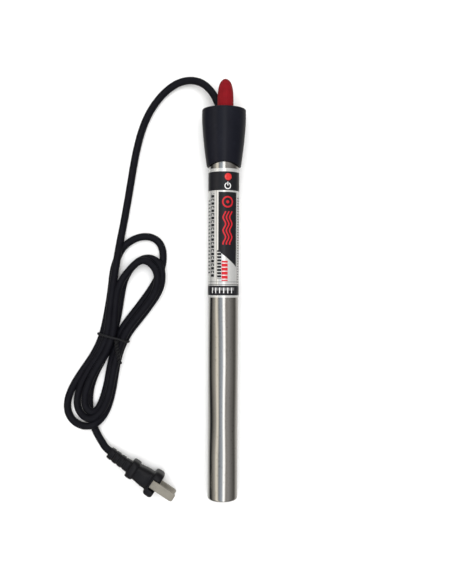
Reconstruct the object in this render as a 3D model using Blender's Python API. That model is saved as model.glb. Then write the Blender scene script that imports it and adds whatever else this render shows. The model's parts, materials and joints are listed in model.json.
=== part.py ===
"""A submersible aquarium heater lying on its side, with its cord wound in a tied hank.

The heater lies along +Y, knob end first, on the rim of its head cap and on the closed
end of its tube. Every piece of it hangs from the empty "heater_axis", whose local Y is
the axis of the tube, counted from the closed end, and whose local Z points away from
the floor. The floor is z = 0.
"""
import math

import bmesh
import bpy
from mathutils import Matrix, Vector

MM = 0.001
GAP = 0.3 * MM

# Heater: stations along the tube's axis, counted from its closed end
TUBE_RADIUS = 11.0 * MM
TUBE_WALL = 0.5 * MM
TUBE_LENGTH = 262.7 * MM
TUBE_END_FILLET = 2.0 * MM
CAP_RADIUS = 16.1 * MM
CAP_BOTTOM = 242.7 * MM
CAP_ARCH = 3.8 * MM
CAP_TOP = 286.0 * MM
CAP_TAPER_START = 279.7 * MM
CAP_TAPER_SPAN = 30.9 * MM
CAP_TAPER_DEPTH = 2.5 * MM
CAP_CAVITY_TOP = 268.0 * MM
BUNG_BOTTOM = 243.0 * MM
BUNG_RADIUS = 10.2 * MM
BUNG_TOP = 266.5 * MM
LABEL_BOTTOM = 148.8 * MM
LABEL_TOP = 242.0 * MM
LABEL_RADIUS = 11.35 * MM
LENS_STATION = 235.8 * MM
LENS_RADIUS = 2.6 * MM
LENS_TURN = math.radians(16.0)

# Knob, spindle and screw share one axis, beside the tube's
SPINDLE_X = 1.0 * MM
SPINDLE_N = 4.2 * MM
SPINDLE_RADIUS = 2.2 * MM
KNOB_RADIUS = 5.9 * MM
KNOB_HEIGHT = 21.1 * MM
SCREW_RADIUS = 2.0 * MM
SCREW_SHANK_RADIUS = 1.0 * MM

# Cord: where it leaves the cap, and its size
CORD_RADIUS = 2.75 * MM
CORD_X = -2.8 * MM
CORD_N = -4.6 * MM

# Thermostat: the leaf springs are centred on the spindle's plane
LEAF_WIDTH = 5.0 * MM
CONTACT_STATION = 188.0 * MM
BIMETAL_ROOT = 152.3 * MM
BIMETAL_TIP = 203.0 * MM
BIMETAL_BOTTOM = 0.2 * MM
BIMETAL_THICKNESS = 0.4 * MM
ARM_PIVOT_STATION = 208.0 * MM
ARM_PIVOT_N = -1.0 * MM

# Heating element
CORE_RADIUS = 5.5 * MM
CORE_BOTTOM = 8.9 * MM
CORE_TOP = 117.6 * MM
COIL_RADIUS = 6.6 * MM
COIL_TURNS = 14

# Hank and plug
HANK_HEIGHT = 14.0 * MM
PLUG_START = Vector((-83.2 * MM, -120.4 * MM, 9.0 * MM))
PLUG_TURN = math.radians(-33.0)
PLUG_HALF_HEIGHT = 9.0 * MM
RELIEF_HALF = 4.1 * MM
RELIEF_DROOP = 2.2 * MM
COLLAR_BACK = 17.4 * MM
COLLAR_FRONT = 23.8 * MM
FLANGE_BACK = 35.6 * MM
PLUG_FACE = 42.8 * MM
BLADE_BACK = 34.0 * MM
BLADE_TIP = 57.0 * MM
BLADE_HALF_WIDTH = 3.175 * MM
BLADE_HALF_THICKNESS = 0.75 * MM
BLADE_OFFSET = 6.35 * MM

ROUND = 40
SMALL_ROUND = 20

# Route of the cord from the cap to the hank
LEAD_ROUTE = [
    (-2.8 * MM, 134.4 * MM, 11.8 * MM),
    (-3.4 * MM, 137.4 * MM, 11.6 * MM),
    (-5.0 * MM, 141.2 * MM, 11.2 * MM),
    (-7.6 * MM, 145.2 * MM, 10.7 * MM),
    (-11.1 * MM, 149.3 * MM, 10.0 * MM),
    (-15.4 * MM, 153.2 * MM, 9.0 * MM),
    (-20.7 * MM, 155.6 * MM, 7.7 * MM),
    (-26.7 * MM, 156.5 * MM, 6.3 * MM),
    (-32.7 * MM, 155.5 * MM, 5.0 * MM),
    (-38.4 * MM, 152.9 * MM, 4.0 * MM),
    (-44.1 * MM, 148.7 * MM, 3.2 * MM),
    (-49.3 * MM, 143.1 * MM, 2.75 * MM),
    (-54.2 * MM, 136.3 * MM, 2.75 * MM),
    (-58.1 * MM, 128.7 * MM, 2.75 * MM),
    (-61.5 * MM, 120.0 * MM, 2.75 * MM),
    (-64.7 * MM, 108.7 * MM, 2.75 * MM),
    (-67.6 * MM, 94.4 * MM, 2.75 * MM),
    (-69.9 * MM, 79.4 * MM, 2.75 * MM),
    (-72.4 * MM, 64.4 * MM, 2.75 * MM),
    (-75.0 * MM, 50.1 * MM, 2.75 * MM),
    (-75.8 * MM, 45.6 * MM, 2.9 * MM),
]

# Route of the cord from the hank to the plug
TAIL_ROUTE = [
    (-95.0 * MM, -106.6 * MM, 2.75 * MM),
    (-92.8 * MM, -109.9 * MM, 2.9 * MM),
    (-90.2 * MM, -113.7 * MM, 4.0 * MM),
    (-87.2 * MM, -117.4 * MM, 5.7 * MM),
    (-83.8 * MM, -119.9 * MM, 6.6 * MM),
]

# Outline of the wound hank, clockwise from where the cord enters it
HANK_OUTLINE = [
    (-79.5, 42.4), (-72.5, 41.8), (-66.7, 42.6), (-60.0, 43.8), (-54.0, 43.2), (-48.0, 40.4),
    (-43.5, 35.1), (-41.9, 28.4), (-42.0, 21.0), (-42.3, 14.5), (-42.4, 7.5), (-43.8, -1.5),
    (-49.0, -10.8), (-56.2, -20.2), (-63.5, -29.2), (-68.8, -35.2), (-72.0, -40.6),
    (-74.5, -46.3), (-76.4, -53.8), (-77.9, -64.2), (-79.4, -73.2), (-81.2, -80.7),
    (-83.5, -87.2), (-86.5, -93.0), (-90.6, -98.4), (-95.6, -103.2), (-101.8, -104.6),
    (-107.8, -103.6), (-113.4, -100.4), (-117.2, -95.2), (-119.4, -88.6), (-119.3, -81.8),
    (-117.2, -74.7), (-113.4, -67.6), (-107.9, -59.0), (-102.3, -50.4), (-97.4, -42.4),
    (-94.2, -34.6), (-91.7, -25.4), (-90.1, -16.4), (-88.5, -7.5), (-87.2, 1.5),
    (-86.1, 11.9), (-83.8, 22.4), (-81.3, 31.4),
]

# The wire tie crosses the hank here
TIE_CENTRE = Vector((-81.7 * MM, -35.2 * MM, 0.0))
TIE_TURN = math.radians(-15.0)
TIE_WIDTH = 25.0 * MM
TIE_WIRE = 1.0 * MM
TIE_BOTTOM = 0.2 * MM
TIE_TOP = 12.2 * MM

REST_TILT = math.asin((CAP_RADIUS - TUBE_RADIUS) / (CAP_TAPER_START - TUBE_END_FILLET))
AXIS_START = Vector((0.0, -153.55 * MM,
                     TUBE_RADIUS * math.cos(REST_TILT) - TUBE_END_FILLET * math.sin(REST_TILT)))

FINISHES = {
    "steel": ((0.60, 0.59, 0.57), 1.0, 0.22),
    "spring_steel": ((0.50, 0.50, 0.50), 1.0, 0.35),
    "brass": ((0.72, 0.55, 0.25), 1.0, 0.30),
    "silver_contact": ((0.85, 0.85, 0.83), 1.0, 0.25),
    "nickel_blade": ((0.75, 0.73, 0.70), 1.0, 0.25),
    "label_film": ((0.10, 0.10, 0.11), 0.4, 0.30),
    "cap_rubber": ((0.02, 0.02, 0.025), 0.0, 0.42),
    "bung_rubber": ((0.05, 0.05, 0.05), 0.0, 0.60),
    "seal_rubber": ((0.45, 0.12, 0.06), 0.0, 0.55),
    "cord_pvc": ((0.015, 0.015, 0.018), 0.0, 0.45),
    "knob_red": ((0.32, 0.012, 0.018), 0.0, 0.50),
    "lens_red": ((0.70, 0.03, 0.02), 0.0, 0.15),
    "lamp_glass": ((0.90, 0.60, 0.40), 0.0, 0.10),
    "ceramic": ((0.85, 0.82, 0.75), 0.0, 0.55),
    "resistance_wire": ((0.35, 0.32, 0.30), 1.0, 0.40),
    "mica": ((0.60, 0.50, 0.32), 0.0, 0.35),
    "phenolic": ((0.16, 0.07, 0.03), 0.0, 0.45),
    "magnet": ((0.12, 0.12, 0.13), 0.6, 0.40),
    "component_blue": ((0.05, 0.18, 0.45), 0.0, 0.35),
    "component_tan": ((0.60, 0.42, 0.22), 0.0, 0.45),
    "wire_brown": ((0.20, 0.07, 0.02), 0.0, 0.50),
    "wire_blue": ((0.03, 0.10, 0.40), 0.0, 0.50),
}


def clear_scene():
    for thing in list(bpy.data.objects):
        bpy.data.objects.remove(thing, do_unlink=True)


def finish_material(name, look):
    """Give one object its own Principled material, in one of the named finishes."""
    colour, metallic, roughness = FINISHES[look]
    made = bpy.data.materials.new(name + "_" + look)
    made.use_nodes = True
    shader = made.node_tree.nodes["Principled BSDF"]
    shader.inputs["Base Color"].default_value = (*colour, 1.0)
    shader.inputs["Metallic"].default_value = metallic
    shader.inputs["Roughness"].default_value = roughness
    return made


def add_frame(name, place, rotation):
    frame = bpy.data.objects.new(name, None)
    frame.location = place
    frame.rotation_euler = rotation
    bpy.context.collection.objects.link(frame)
    return frame


def add_piece(name, data, look, parent, origin=(0.0, 0.0, 0.0), rotation=(0.0, 0.0, 0.0)):
    """Link an object. A look of None makes it a cutter, which is hidden from the model."""
    piece = bpy.data.objects.new(name, data)
    piece.parent = parent
    piece.location = origin
    piece.rotation_euler = rotation
    bpy.context.collection.objects.link(piece)
    if look is None:
        piece.hide_render = True
        piece.display_type = "WIRE"
    else:
        data.materials.append(finish_material(name, look))
    return piece


def to_mesh(name, bm, crease=35.0):
    bmesh.ops.recalc_face_normals(bm, faces=bm.faces)
    mesh = bpy.data.meshes.new(name)
    bm.to_mesh(mesh)
    bm.free()
    mesh.shade_smooth()
    mesh.set_sharp_from_angle(angle=math.radians(crease))
    return mesh


def turned(name, profile, look, parent, origin=(0.0, 0.0, 0.0), rotation=(0.0, 0.0, 0.0),
           segments=ROUND, along="Y"):
    """Spin (radius, height) points about the local axis `along`.

    A profile that starts on the axis also ends on it; any other is closed into a ring.
    """
    bm = bmesh.new()
    if along == "Y":
        points = [bm.verts.new((radius, height, 0.0)) for radius, height in profile]
        axis = (0.0, 1.0, 0.0)
    else:
        points = [bm.verts.new((radius, 0.0, height)) for radius, height in profile]
        axis = (0.0, 0.0, 1.0)
    edges = [bm.edges.new(pair) for pair in zip(points, points[1:])]
    if profile[0][0] > 0.0:
        edges.append(bm.edges.new((points[-1], points[0])))
    bmesh.ops.spin(bm, geom=points + edges, axis=axis, cent=(0.0, 0.0, 0.0),
                   angle=2.0 * math.pi, steps=segments)
    bmesh.ops.remove_doubles(bm, verts=bm.verts, dist=0.001 * MM)
    return add_piece(name, to_mesh(name, bm), look, parent, origin, rotation)


def rod(name, radius, start, end, look, parent, x=0.0, n=0.0, segments=SMALL_ROUND):
    profile = [(0.0, start), (radius, start), (radius, end), (0.0, end)]
    return turned(name, profile, look, parent, (x, 0.0, n), segments=segments)


def ring(name, inner, outer, start, end, look, parent, x=0.0, n=0.0, segments=ROUND):
    profile = [(inner, start), (outer, start), (outer, end), (inner, end)]
    return turned(name, profile, look, parent, (x, 0.0, n), segments=segments)


def o_ring(name, major, minor, station, look, parent, x=0.0, n=0.0, segments=ROUND):
    steps = 10
    profile = []
    for step in range(steps):
        angle = 2.0 * math.pi * step / steps
        profile.append((major + minor * math.cos(angle), station + minor * math.sin(angle)))
    return turned(name, profile, look, parent, (x, 0.0, n), segments=segments)


def stud(name, radius, bottom, top, look, parent, origin, rotation=(0.0, 0.0, 0.0)):
    """A round piece that stands along local Z, from bottom to top above its origin."""
    profile = [(0.0, bottom), (radius, bottom), (radius, top), (0.0, top)]
    return turned(name, profile, look, parent, origin, rotation, SMALL_ROUND, "Z")


def block(name, low, high, look, parent, origin=(0.0, 0.0, 0.0), bevel=0.0):
    """A box between two corners given in the parent's frame, with its origin where asked."""
    low = Vector(low)
    high = Vector(high)
    size = high - low
    shift = (low + high) / 2.0 - Vector(origin)
    bm = bmesh.new()
    bmesh.ops.create_cube(bm, size=1.0, matrix=Matrix.Translation(shift) @ Matrix.Diagonal((*size, 1.0)))
    if bevel > 0.0:
        bmesh.ops.bevel(bm, geom=bm.edges[:], offset=bevel, segments=2, profile=0.5, affect="EDGES")
    return add_piece(name, to_mesh(name, bm), look, parent, origin)


def extruded(name, outline, start, end, look, parent, across, origin=(0.0, 0.0, 0.0)):
    """Extrude a flat outline from start to end along the local axis `across`, X or Z."""
    bm = bmesh.new()
    if across == "X":
        corners = [bm.verts.new((start, a, b)) for a, b in outline]
        step = Vector((end - start, 0.0, 0.0))
    else:
        corners = [bm.verts.new((a, b, start)) for a, b in outline]
        step = Vector((0.0, 0.0, end - start))
    face = bm.faces.new(corners)
    grown = bmesh.ops.extrude_face_region(bm, geom=[face])
    moved = [item for item in grown["geom"] if isinstance(item, bmesh.types.BMVert)]
    bmesh.ops.translate(bm, vec=step, verts=moved)
    bmesh.ops.translate(bm, vec=-Vector(origin), verts=bm.verts)
    return add_piece(name, to_mesh(name, bm), look, parent, origin)


def boolean(target, other, operation):
    step = target.modifiers.new(other.name, "BOOLEAN")
    step.operation = operation
    step.solver = "EXACT"
    step.object = other


def cut(target, *cutters):
    for cutter in cutters:
        boolean(target, cutter, "DIFFERENCE")


def join(target, *others):
    for other in others:
        boolean(target, other, "UNION")


def smooth_path(points, steps):
    """Points along a Catmull-Rom curve through the given ones, `steps` to each span."""
    given = [Vector(point) for point in points]
    ends = [2.0 * given[0] - given[1]] + given + [2.0 * given[-1] - given[-2]]
    path = []
    for before, start, end, after in zip(ends, ends[1:], ends[2:], ends[3:]):
        for step in range(steps):
            t = step / steps
            path.append(0.5 * (2.0 * start + (end - before) * t
                               + (2.0 * before - 5.0 * start + 4.0 * end - after) * t * t
                               + (3.0 * start - before - 3.0 * end + after) * t * t * t))
    path.append(given[-1])
    return path


def wire(name, path, radius, look, parent, fineness=2):
    """A round wire along a path: a curve with a bevel and filled ends."""
    curve = bpy.data.curves.new(name, "CURVE")
    curve.dimensions = "3D"
    curve.bevel_depth = radius
    curve.bevel_resolution = fineness
    curve.use_fill_caps = True
    line = curve.splines.new("POLY")
    line.points.add(len(path) - 1)
    for point, place in zip(line.points, path):
        point.co = (*place, 1.0)
    return add_piece(name, curve, look, parent)


def arc(centre, radius, start, end, steps):
    """Points on a circle arc from start to end, in degrees, both ends included."""
    points = []
    for step in range(steps + 1):
        angle = math.radians(start + (end - start) * step / steps)
        points.append((centre[0] + radius * math.cos(angle), centre[1] + radius * math.sin(angle)))
    return points


def circle(radius, sides):
    """Points of a circle round the origin."""
    turns = [2.0 * math.pi * side / sides for side in range(sides)]
    return [(radius * math.cos(turn), radius * math.sin(turn)) for turn in turns]


def cap_radius(station):
    """The cap's outside: straight by its top, then drawn in on a power curve."""
    below = max(0.0, CAP_TAPER_START - station) / CAP_TAPER_SPAN
    return CAP_RADIUS - CAP_TAPER_DEPTH * below ** 1.5


def knob_profile():
    """A thimble shape: full at the base and closed in a blunt round nose."""
    base = CAP_TOP + GAP
    steps = 14
    profile = [(0.0, base), (KNOB_RADIUS - 0.3 * MM, base), (KNOB_RADIUS, base + 0.3 * MM)]
    for step in range(1, steps):
        depth = (1.0 - step / steps) ** 1.6
        radius = KNOB_RADIUS * math.sqrt(1.0 - (1.0 - depth) ** 4)
        profile.append((radius, base + KNOB_HEIGHT * (1.0 - depth)))
    profile.append((0.0, base + KNOB_HEIGHT))
    return profile


def build_tube(axis):
    """The deep-drawn steel tube, its printed sleeve and the lamp lens in its side."""
    inner = TUBE_RADIUS - TUBE_WALL
    floor = 0.8 * MM
    corner = TUBE_RADIUS - TUBE_END_FILLET
    inside_fillet = inner - corner
    profile = [(0.0, 0.0)]
    profile += arc((corner, TUBE_END_FILLET), TUBE_END_FILLET, -90.0, 0.0, 4)
    profile += [(TUBE_RADIUS, TUBE_LENGTH), (inner, TUBE_LENGTH)]
    profile += arc((corner, floor + inside_fillet), inside_fillet, 0.0, -90.0, 3)
    profile += [(0.0, floor)]
    tube = turned("outer_tube", profile, "steel", axis)
    label = ring("label_sleeve", LABEL_RADIUS - 0.25 * MM, LABEL_RADIUS, LABEL_BOTTOM, LABEL_TOP,
                 "label_film", axis)
    station = (0.0, LENS_STATION, 0.0)
    turn = (0.0, LENS_TURN, 0.0)
    hole = stud("lens_hole", LENS_RADIUS + GAP, TUBE_RADIUS - 2.0 * MM, TUBE_RADIUS + 2.0 * MM, None,
                axis, station, turn)
    cut(tube, hole)
    cut(label, hole)
    base = inner + 0.2 * MM
    rim = LABEL_RADIUS + 0.1 * MM
    profile = [(0.0, base), (LENS_RADIUS, base), (LENS_RADIUS, rim)]
    profile += [(0.7 * LENS_RADIUS, rim + 0.35 * MM), (0.0, rim + 0.5 * MM)]
    turned("pilot_lens", profile, "lens_red", axis, station, turn, SMALL_ROUND, "Z")


def build_head(axis):
    """The rubber cap, the bung that seals the tube's mouth, and the seals.

    The cap's mouth is arched: it stands back by CAP_ARCH above and below the tube.
    """
    foot = CAP_BOTTOM + 2.5 * MM
    bore = TUBE_RADIUS + GAP
    lip = bore + 0.7 * MM
    profile = [(0.0, CAP_CAVITY_TOP), (bore, CAP_CAVITY_TOP), (bore, CAP_BOTTOM)]
    for step in range(4):
        angle = math.radians(30.0 * step)
        radius = lip + (cap_radius(foot) - lip) * math.sin(angle)
        profile.append((radius, foot - (foot - CAP_BOTTOM) * math.cos(angle)))
    for step in range(1, 9):
        station = foot + (CAP_TAPER_START - foot) * step / 8
        profile.append((cap_radius(station), station))
    profile += arc((CAP_RADIUS - 1.0 * MM, CAP_TOP - 1.0 * MM), 1.0 * MM, 0.0, 90.0, 3)
    profile += [(0.0, CAP_TOP)]
    cap = turned("head_cap", profile, "cap_rubber", axis)
    spindle_hole = rod("cap_spindle_hole", SPINDLE_RADIUS + GAP, CAP_CAVITY_TOP - 1.0 * MM,
                       CAP_TOP + 1.0 * MM, None, axis, SPINDLE_X, SPINDLE_N)
    half_chord = bore + 0.9 * MM
    arch_radius = (half_chord ** 2 + CAP_ARCH ** 2) / (2.0 * CAP_ARCH)
    arch_station = CAP_BOTTOM + CAP_ARCH - arch_radius
    arch_outline = [(x, arch_station + y) for x, y in circle(arch_radius, 64)]
    mouth_arch = extruded("cap_mouth_arch", arch_outline, -CAP_RADIUS - MM, CAP_RADIUS + MM, None, axis, "Z")
    cut(cap, spindle_hole, mouth_arch)

    flange_bottom = TUBE_LENGTH + GAP
    groove = 8.8 * MM
    profile = [(0.0, BUNG_BOTTOM), (BUNG_RADIUS, BUNG_BOTTOM)]
    grooves = (246.4 * MM, 254.4 * MM)
    groove_width = 2.4 * MM
    for low in grooves:
        high = low + groove_width
        profile += [(BUNG_RADIUS, low), (groove, low), (groove, high), (BUNG_RADIUS, high)]
    profile += [(BUNG_RADIUS, flange_bottom), (TUBE_RADIUS, flange_bottom), (TUBE_RADIUS, BUNG_TOP),
                (0.0, BUNG_TOP)]
    bung = turned("sealing_bung", profile, "bung_rubber", axis)
    seal_station = 251.0 * MM
    bung_spindle_hole = rod("bung_spindle_hole", SPINDLE_RADIUS + GAP, BUNG_BOTTOM - 1.0 * MM,
                            BUNG_TOP + 1.0 * MM, None, axis, SPINDLE_X, SPINDLE_N)
    seal_pocket = rod("spindle_seal_pocket", 3.6 * MM, seal_station - 1.0 * MM,
                      seal_station + 1.0 * MM, None, axis, SPINDLE_X, SPINDLE_N)
    cord_hole = rod("bung_cord_hole", CORD_RADIUS + GAP, BUNG_BOTTOM - 1.0 * MM,
                    BUNG_TOP + 1.0 * MM, None, axis, CORD_X, CORD_N)
    cut(bung, bung_spindle_hole, seal_pocket, cord_hole)
    for name, low in zip(("lower_mouth_seal", "upper_mouth_seal"), grooves):
        o_ring(name, 9.7 * MM, 0.7 * MM, low + groove_width / 2.0, "seal_rubber", axis)
    o_ring("spindle_seal", 2.95 * MM, 0.35 * MM, seal_station, "seal_rubber", axis,
           SPINDLE_X, SPINDLE_N, SMALL_ROUND)
    build_cord_entry(axis, cap)


def build_cord_entry(axis, cap):
    """The tapered gland in the cap, the cord's end inside it, and the clamp below the bung."""
    flange = BUNG_TOP + GAP
    taper_start = CAP_CAVITY_TOP - GAP
    top = CAP_TOP + 1.3 * MM
    bore = CORD_RADIUS + GAP
    wide = 4.6 * MM
    narrow = 3.5 * MM
    profile = [(bore, flange), (5.4 * MM, flange), (5.4 * MM, taper_start), (wide, taper_start),
               (narrow, top), (bore, top)]
    turned("cord_gland", profile, "cap_rubber", axis, (CORD_X, 0.0, CORD_N), segments=SMALL_ROUND)
    hole = [(0.0, taper_start - 1.0 * MM), (wide + GAP, taper_start - 1.0 * MM),
            (wide + GAP, taper_start), (narrow + GAP, top), (0.0, top)]
    cut(cap, turned("gland_hole", hole, None, axis, (CORD_X, 0.0, CORD_N), segments=SMALL_ROUND))
    rod("cord_inner_end", CORD_RADIUS, BUNG_BOTTOM - 4.0 * MM, top - 0.1 * MM, "cord_pvc", axis,
        CORD_X, CORD_N)
    ring("cord_clamp", bore, 4.4 * MM, BUNG_BOTTOM - 2.4 * MM, BUNG_BOTTOM - 0.4 * MM, "brass", axis,
         CORD_X, CORD_N, SMALL_ROUND)


def build_knob(axis):
    """The red knob, the spindle that it turns, its clip and the fine adjusting screw."""
    knob = turned("control_knob", knob_profile(), "knob_red", axis, (SPINDLE_X, 0.0, SPINDLE_N),
                  segments=30)
    spindle_top = 298.0 * MM
    flat_start = CAP_TOP + 3.0 * MM
    flat_x = 1.5 * MM
    origin = (SPINDLE_X, 0.0, SPINDLE_N)
    socket = rod("knob_socket", SPINDLE_RADIUS + GAP, CAP_TOP - 1.0 * MM, spindle_top + GAP, None,
                 axis, SPINDLE_X, SPINDLE_N)
    key = block("socket_key", (SPINDLE_X + flat_x + GAP, flat_start + 0.2 * MM, SPINDLE_N - 4.0 * MM),
                (SPINDLE_X + 4.0 * MM, spindle_top + 2.0 * MM, SPINDLE_N + 4.0 * MM), None, axis, origin)
    cut(socket, key)
    cut(knob, socket)

    bottom = 238.0 * MM
    socket_top = 247.5 * MM
    socket_radius = SCREW_SHANK_RADIUS + GAP
    groove = (241.0 * MM, 242.4 * MM)
    groove_radius = 1.75 * MM
    profile = [(0.0, socket_top), (socket_radius, socket_top), (socket_radius, bottom),
               (SPINDLE_RADIUS, bottom), (SPINDLE_RADIUS, groove[0]), (groove_radius, groove[0]),
               (groove_radius, groove[1]), (SPINDLE_RADIUS, groove[1]), (SPINDLE_RADIUS, spindle_top),
               (0.0, spindle_top)]
    spindle = turned("knob_spindle", profile, "brass", axis, origin, segments=SMALL_ROUND)
    flat = block("spindle_flat", (SPINDLE_X + flat_x, flat_start, SPINDLE_N - 4.0 * MM),
                 (SPINDLE_X + 4.0 * MM, spindle_top + 2.0 * MM, SPINDLE_N + 4.0 * MM), None, axis, origin)
    cut(spindle, flat)
    clip = ring("spindle_clip", groove_radius + GAP, 3.9 * MM, groove[0] + GAP, groove[1] - GAP,
                "spring_steel", axis, SPINDLE_X, SPINDLE_N, SMALL_ROUND)
    slot = block("clip_slot", (SPINDLE_X - 1.2 * MM, groove[0] - 1.0 * MM, SPINDLE_N - 5.0 * MM),
                 (SPINDLE_X + 1.2 * MM, groove[1] + 1.0 * MM, SPINDLE_N), None, axis, origin)
    cut(clip, slot)

    nose = 0.9 * MM
    profile = [(0.0, 208.9 * MM), (0.5 * MM, 208.9 * MM), (nose, 209.3 * MM), (nose, 214.0 * MM),
               (SCREW_RADIUS, 214.6 * MM), (SCREW_RADIUS, 231.0 * MM),
               (SCREW_SHANK_RADIUS, 231.0 * MM), (SCREW_SHANK_RADIUS, 246.5 * MM), (0.0, 246.5 * MM)]
    turned("adjusting_screw", profile, "brass", axis, origin, segments=SMALL_ROUND)


def build_thermostat(axis):
    """The bracket, the bimetal blade, the setting arm and the contacts between them."""
    left = SPINDLE_X - LEAF_WIDTH / 2.0
    right = SPINDLE_X + LEAF_WIDTH / 2.0
    plate_top = -6.4 * MM
    bracket = block("thermostat_bracket", (-5.5 * MM, 140.0 * MM, -7.2 * MM),
                    (5.5 * MM, 226.0 * MM, plate_top), "steel", axis)
    side = block("bracket_side", (-5.5 * MM, 156.0 * MM, -7.2 * MM), (-4.9 * MM, 226.0 * MM, 3.5 * MM),
                 None, axis)
    nut_wall = block("bracket_nut_wall", (-5.5 * MM, 220.0 * MM, -7.2 * MM),
                     (5.5 * MM, 224.0 * MM, 7.5 * MM), None, axis)
    screw_hole = rod("screw_hole", SCREW_RADIUS + GAP, 219.0 * MM, 225.0 * MM, None, axis,
                     SPINDLE_X, SPINDLE_N)
    join(bracket, side, nut_wall)
    cut(bracket, screw_hole)

    terminal = block("terminal_block", (-5.2 * MM, 140.0 * MM, plate_top + GAP),
                     (5.2 * MM, 152.0 * MM, -0.1 * MM), "phenolic", axis, bevel=0.4 * MM)
    blade_top = BIMETAL_BOTTOM + BIMETAL_THICKNESS
    root = block("bimetal_root", (left, 141.0 * MM, BIMETAL_BOTTOM),
                 (right, BIMETAL_ROOT - GAP, blade_top), "spring_steel", axis)
    fixing = (SPINDLE_X, 146.0 * MM, 0.0)
    fixing_hole = stud("root_screw_hole", 0.8 * MM + GAP, -4.6 * MM, 2.0 * MM, None, axis, fixing)
    cut(terminal, fixing_hole)
    cut(root, fixing_hole)
    head = blade_top + GAP
    profile = [(0.0, -4.3 * MM), (0.8 * MM, -4.3 * MM), (0.8 * MM, head), (1.7 * MM, head),
               (1.7 * MM, head + 0.6 * MM), (1.2 * MM, head + 1.0 * MM), (0.0, head + 1.0 * MM)]
    turned("root_screw", profile, "steel", axis, fixing, segments=SMALL_ROUND, along="Z")

    hinge = (SPINDLE_X, BIMETAL_ROOT, BIMETAL_BOTTOM + BIMETAL_THICKNESS / 2.0)
    block("bimetal_blade", (left, BIMETAL_ROOT, BIMETAL_BOTTOM), (right, BIMETAL_TIP, blade_top),
          "spring_steel", axis, hinge)
    contact = (SPINDLE_X, CONTACT_STATION, 0.0)
    stud("moving_contact", 1.5 * MM, blade_top + GAP, blade_top + GAP + 0.8 * MM, "silver_contact",
         axis, contact)

    strip_bottom = 4.25 * MM
    strip_top = 4.85 * MM
    face = ARM_PIVOT_STATION + 0.6 * MM
    outline = [(face - 2.0 * MM, -2.6 * MM), (face + 0.8 * MM, -2.6 * MM), (face + 0.8 * MM, 0.4 * MM),
               (face, 1.2 * MM), (face, strip_top), (CONTACT_STATION - 2.0 * MM, strip_top),
               (CONTACT_STATION - 2.0 * MM, strip_bottom), (face - 1.0 * MM, strip_bottom),
               (face - 1.0 * MM, 1.2 * MM), (face - 2.0 * MM, 0.4 * MM)]
    pivot = (SPINDLE_X, ARM_PIVOT_STATION, ARM_PIVOT_N)
    arm = extruded("setting_arm", outline, left, right, "spring_steel", axis, "X", pivot)
    across = (0.0, math.radians(90.0), 0.0)
    bore = stud("arm_bore", 1.0 * MM, -5.0 * MM, 5.0 * MM, None, axis, pivot, across)
    cut(arm, bore)
    stud("arm_pivot_pin", 0.7 * MM, -5.6 * MM, 3.2 * MM, "steel", axis, pivot, across)
    stud("fixed_contact", 1.5 * MM, strip_bottom - GAP - 0.8 * MM, strip_bottom - GAP,
         "silver_contact", axis, contact)
    block("snap_magnet", (-4.6 * MM, 196.5 * MM, 1.3 * MM), (3.0 * MM, 200.5 * MM, 3.2 * MM),
          "magnet", axis, bevel=0.3 * MM)


def build_components(axis):
    """The small electrical parts beside the thermostat, and the wires between them."""
    block("spark_capacitor", (-3.0 * MM, 158.0 * MM, -6.1 * MM), (5.0 * MM, 168.0 * MM, -3.0 * MM),
          "component_blue", axis, bevel=0.8 * MM)
    rod("thermal_fuse", 1.5 * MM, 172.0 * MM, 184.0 * MM, "component_tan", axis, SPINDLE_X, -4.5 * MM)
    lamp = [(0.0, 228.8 * MM), (1.3 * MM, 229.2 * MM), (1.9 * MM, 230.4 * MM), (1.9 * MM, 238.4 * MM),
            (1.3 * MM, 239.6 * MM), (0.0, 240.0 * MM)]
    turned("neon_lamp", lamp, "lamp_glass", axis, (5.0 * MM, 0.0, 6.8 * MM), segments=SMALL_ROUND)
    rod("lamp_resistor", 1.1 * MM, 228.0 * MM, 235.0 * MM, "component_tan", axis, -6.0 * MM, 5.0 * MM)

    inner_end = BUNG_BOTTOM - 5.0 * MM
    wire_radius = 0.7 * MM
    live = [(-4.2 * MM, inner_end, CORD_N), (-5.4 * MM, 234.0 * MM, -4.0 * MM),
            (-7.2 * MM, 228.0 * MM, -2.3 * MM), (-7.9 * MM, 221.0 * MM, -1.5 * MM),
            (-7.9 * MM, 187.0 * MM, -1.5 * MM), (-7.9 * MM, 153.0 * MM, -1.5 * MM),
            (-7.3 * MM, 147.5 * MM, -2.0 * MM), (-5.5 * MM, 146.0 * MM, -2.0 * MM)]
    wire("live_wire", smooth_path(live, 4), wire_radius, "wire_brown", axis)
    neutral = [(-1.4 * MM, inner_end, CORD_N), (1.6 * MM, 235.0 * MM, -6.2 * MM),
               (5.4 * MM, 231.0 * MM, -5.0 * MM), (7.4 * MM, 226.0 * MM, -2.6 * MM),
               (7.9 * MM, 219.0 * MM, -1.5 * MM), (7.9 * MM, 175.0 * MM, -1.5 * MM),
               (7.9 * MM, 131.0 * MM, -1.5 * MM), (7.4 * MM, 126.0 * MM, -1.2 * MM),
               (7.0 * MM, 121.8 * MM, -1.0 * MM)]
    wire("neutral_wire", smooth_path(neutral, 4), wire_radius, "wire_blue", axis)
    element = [(-3.0 * MM, 139.6 * MM, -3.0 * MM), (-3.4 * MM, 134.0 * MM, -2.6 * MM),
               (-4.8 * MM, 127.0 * MM, -1.4 * MM), (-5.0 * MM, 121.8 * MM, -1.0 * MM)]
    wire("element_wire", smooth_path(element, 4), wire_radius, "wire_brown", axis)


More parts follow.
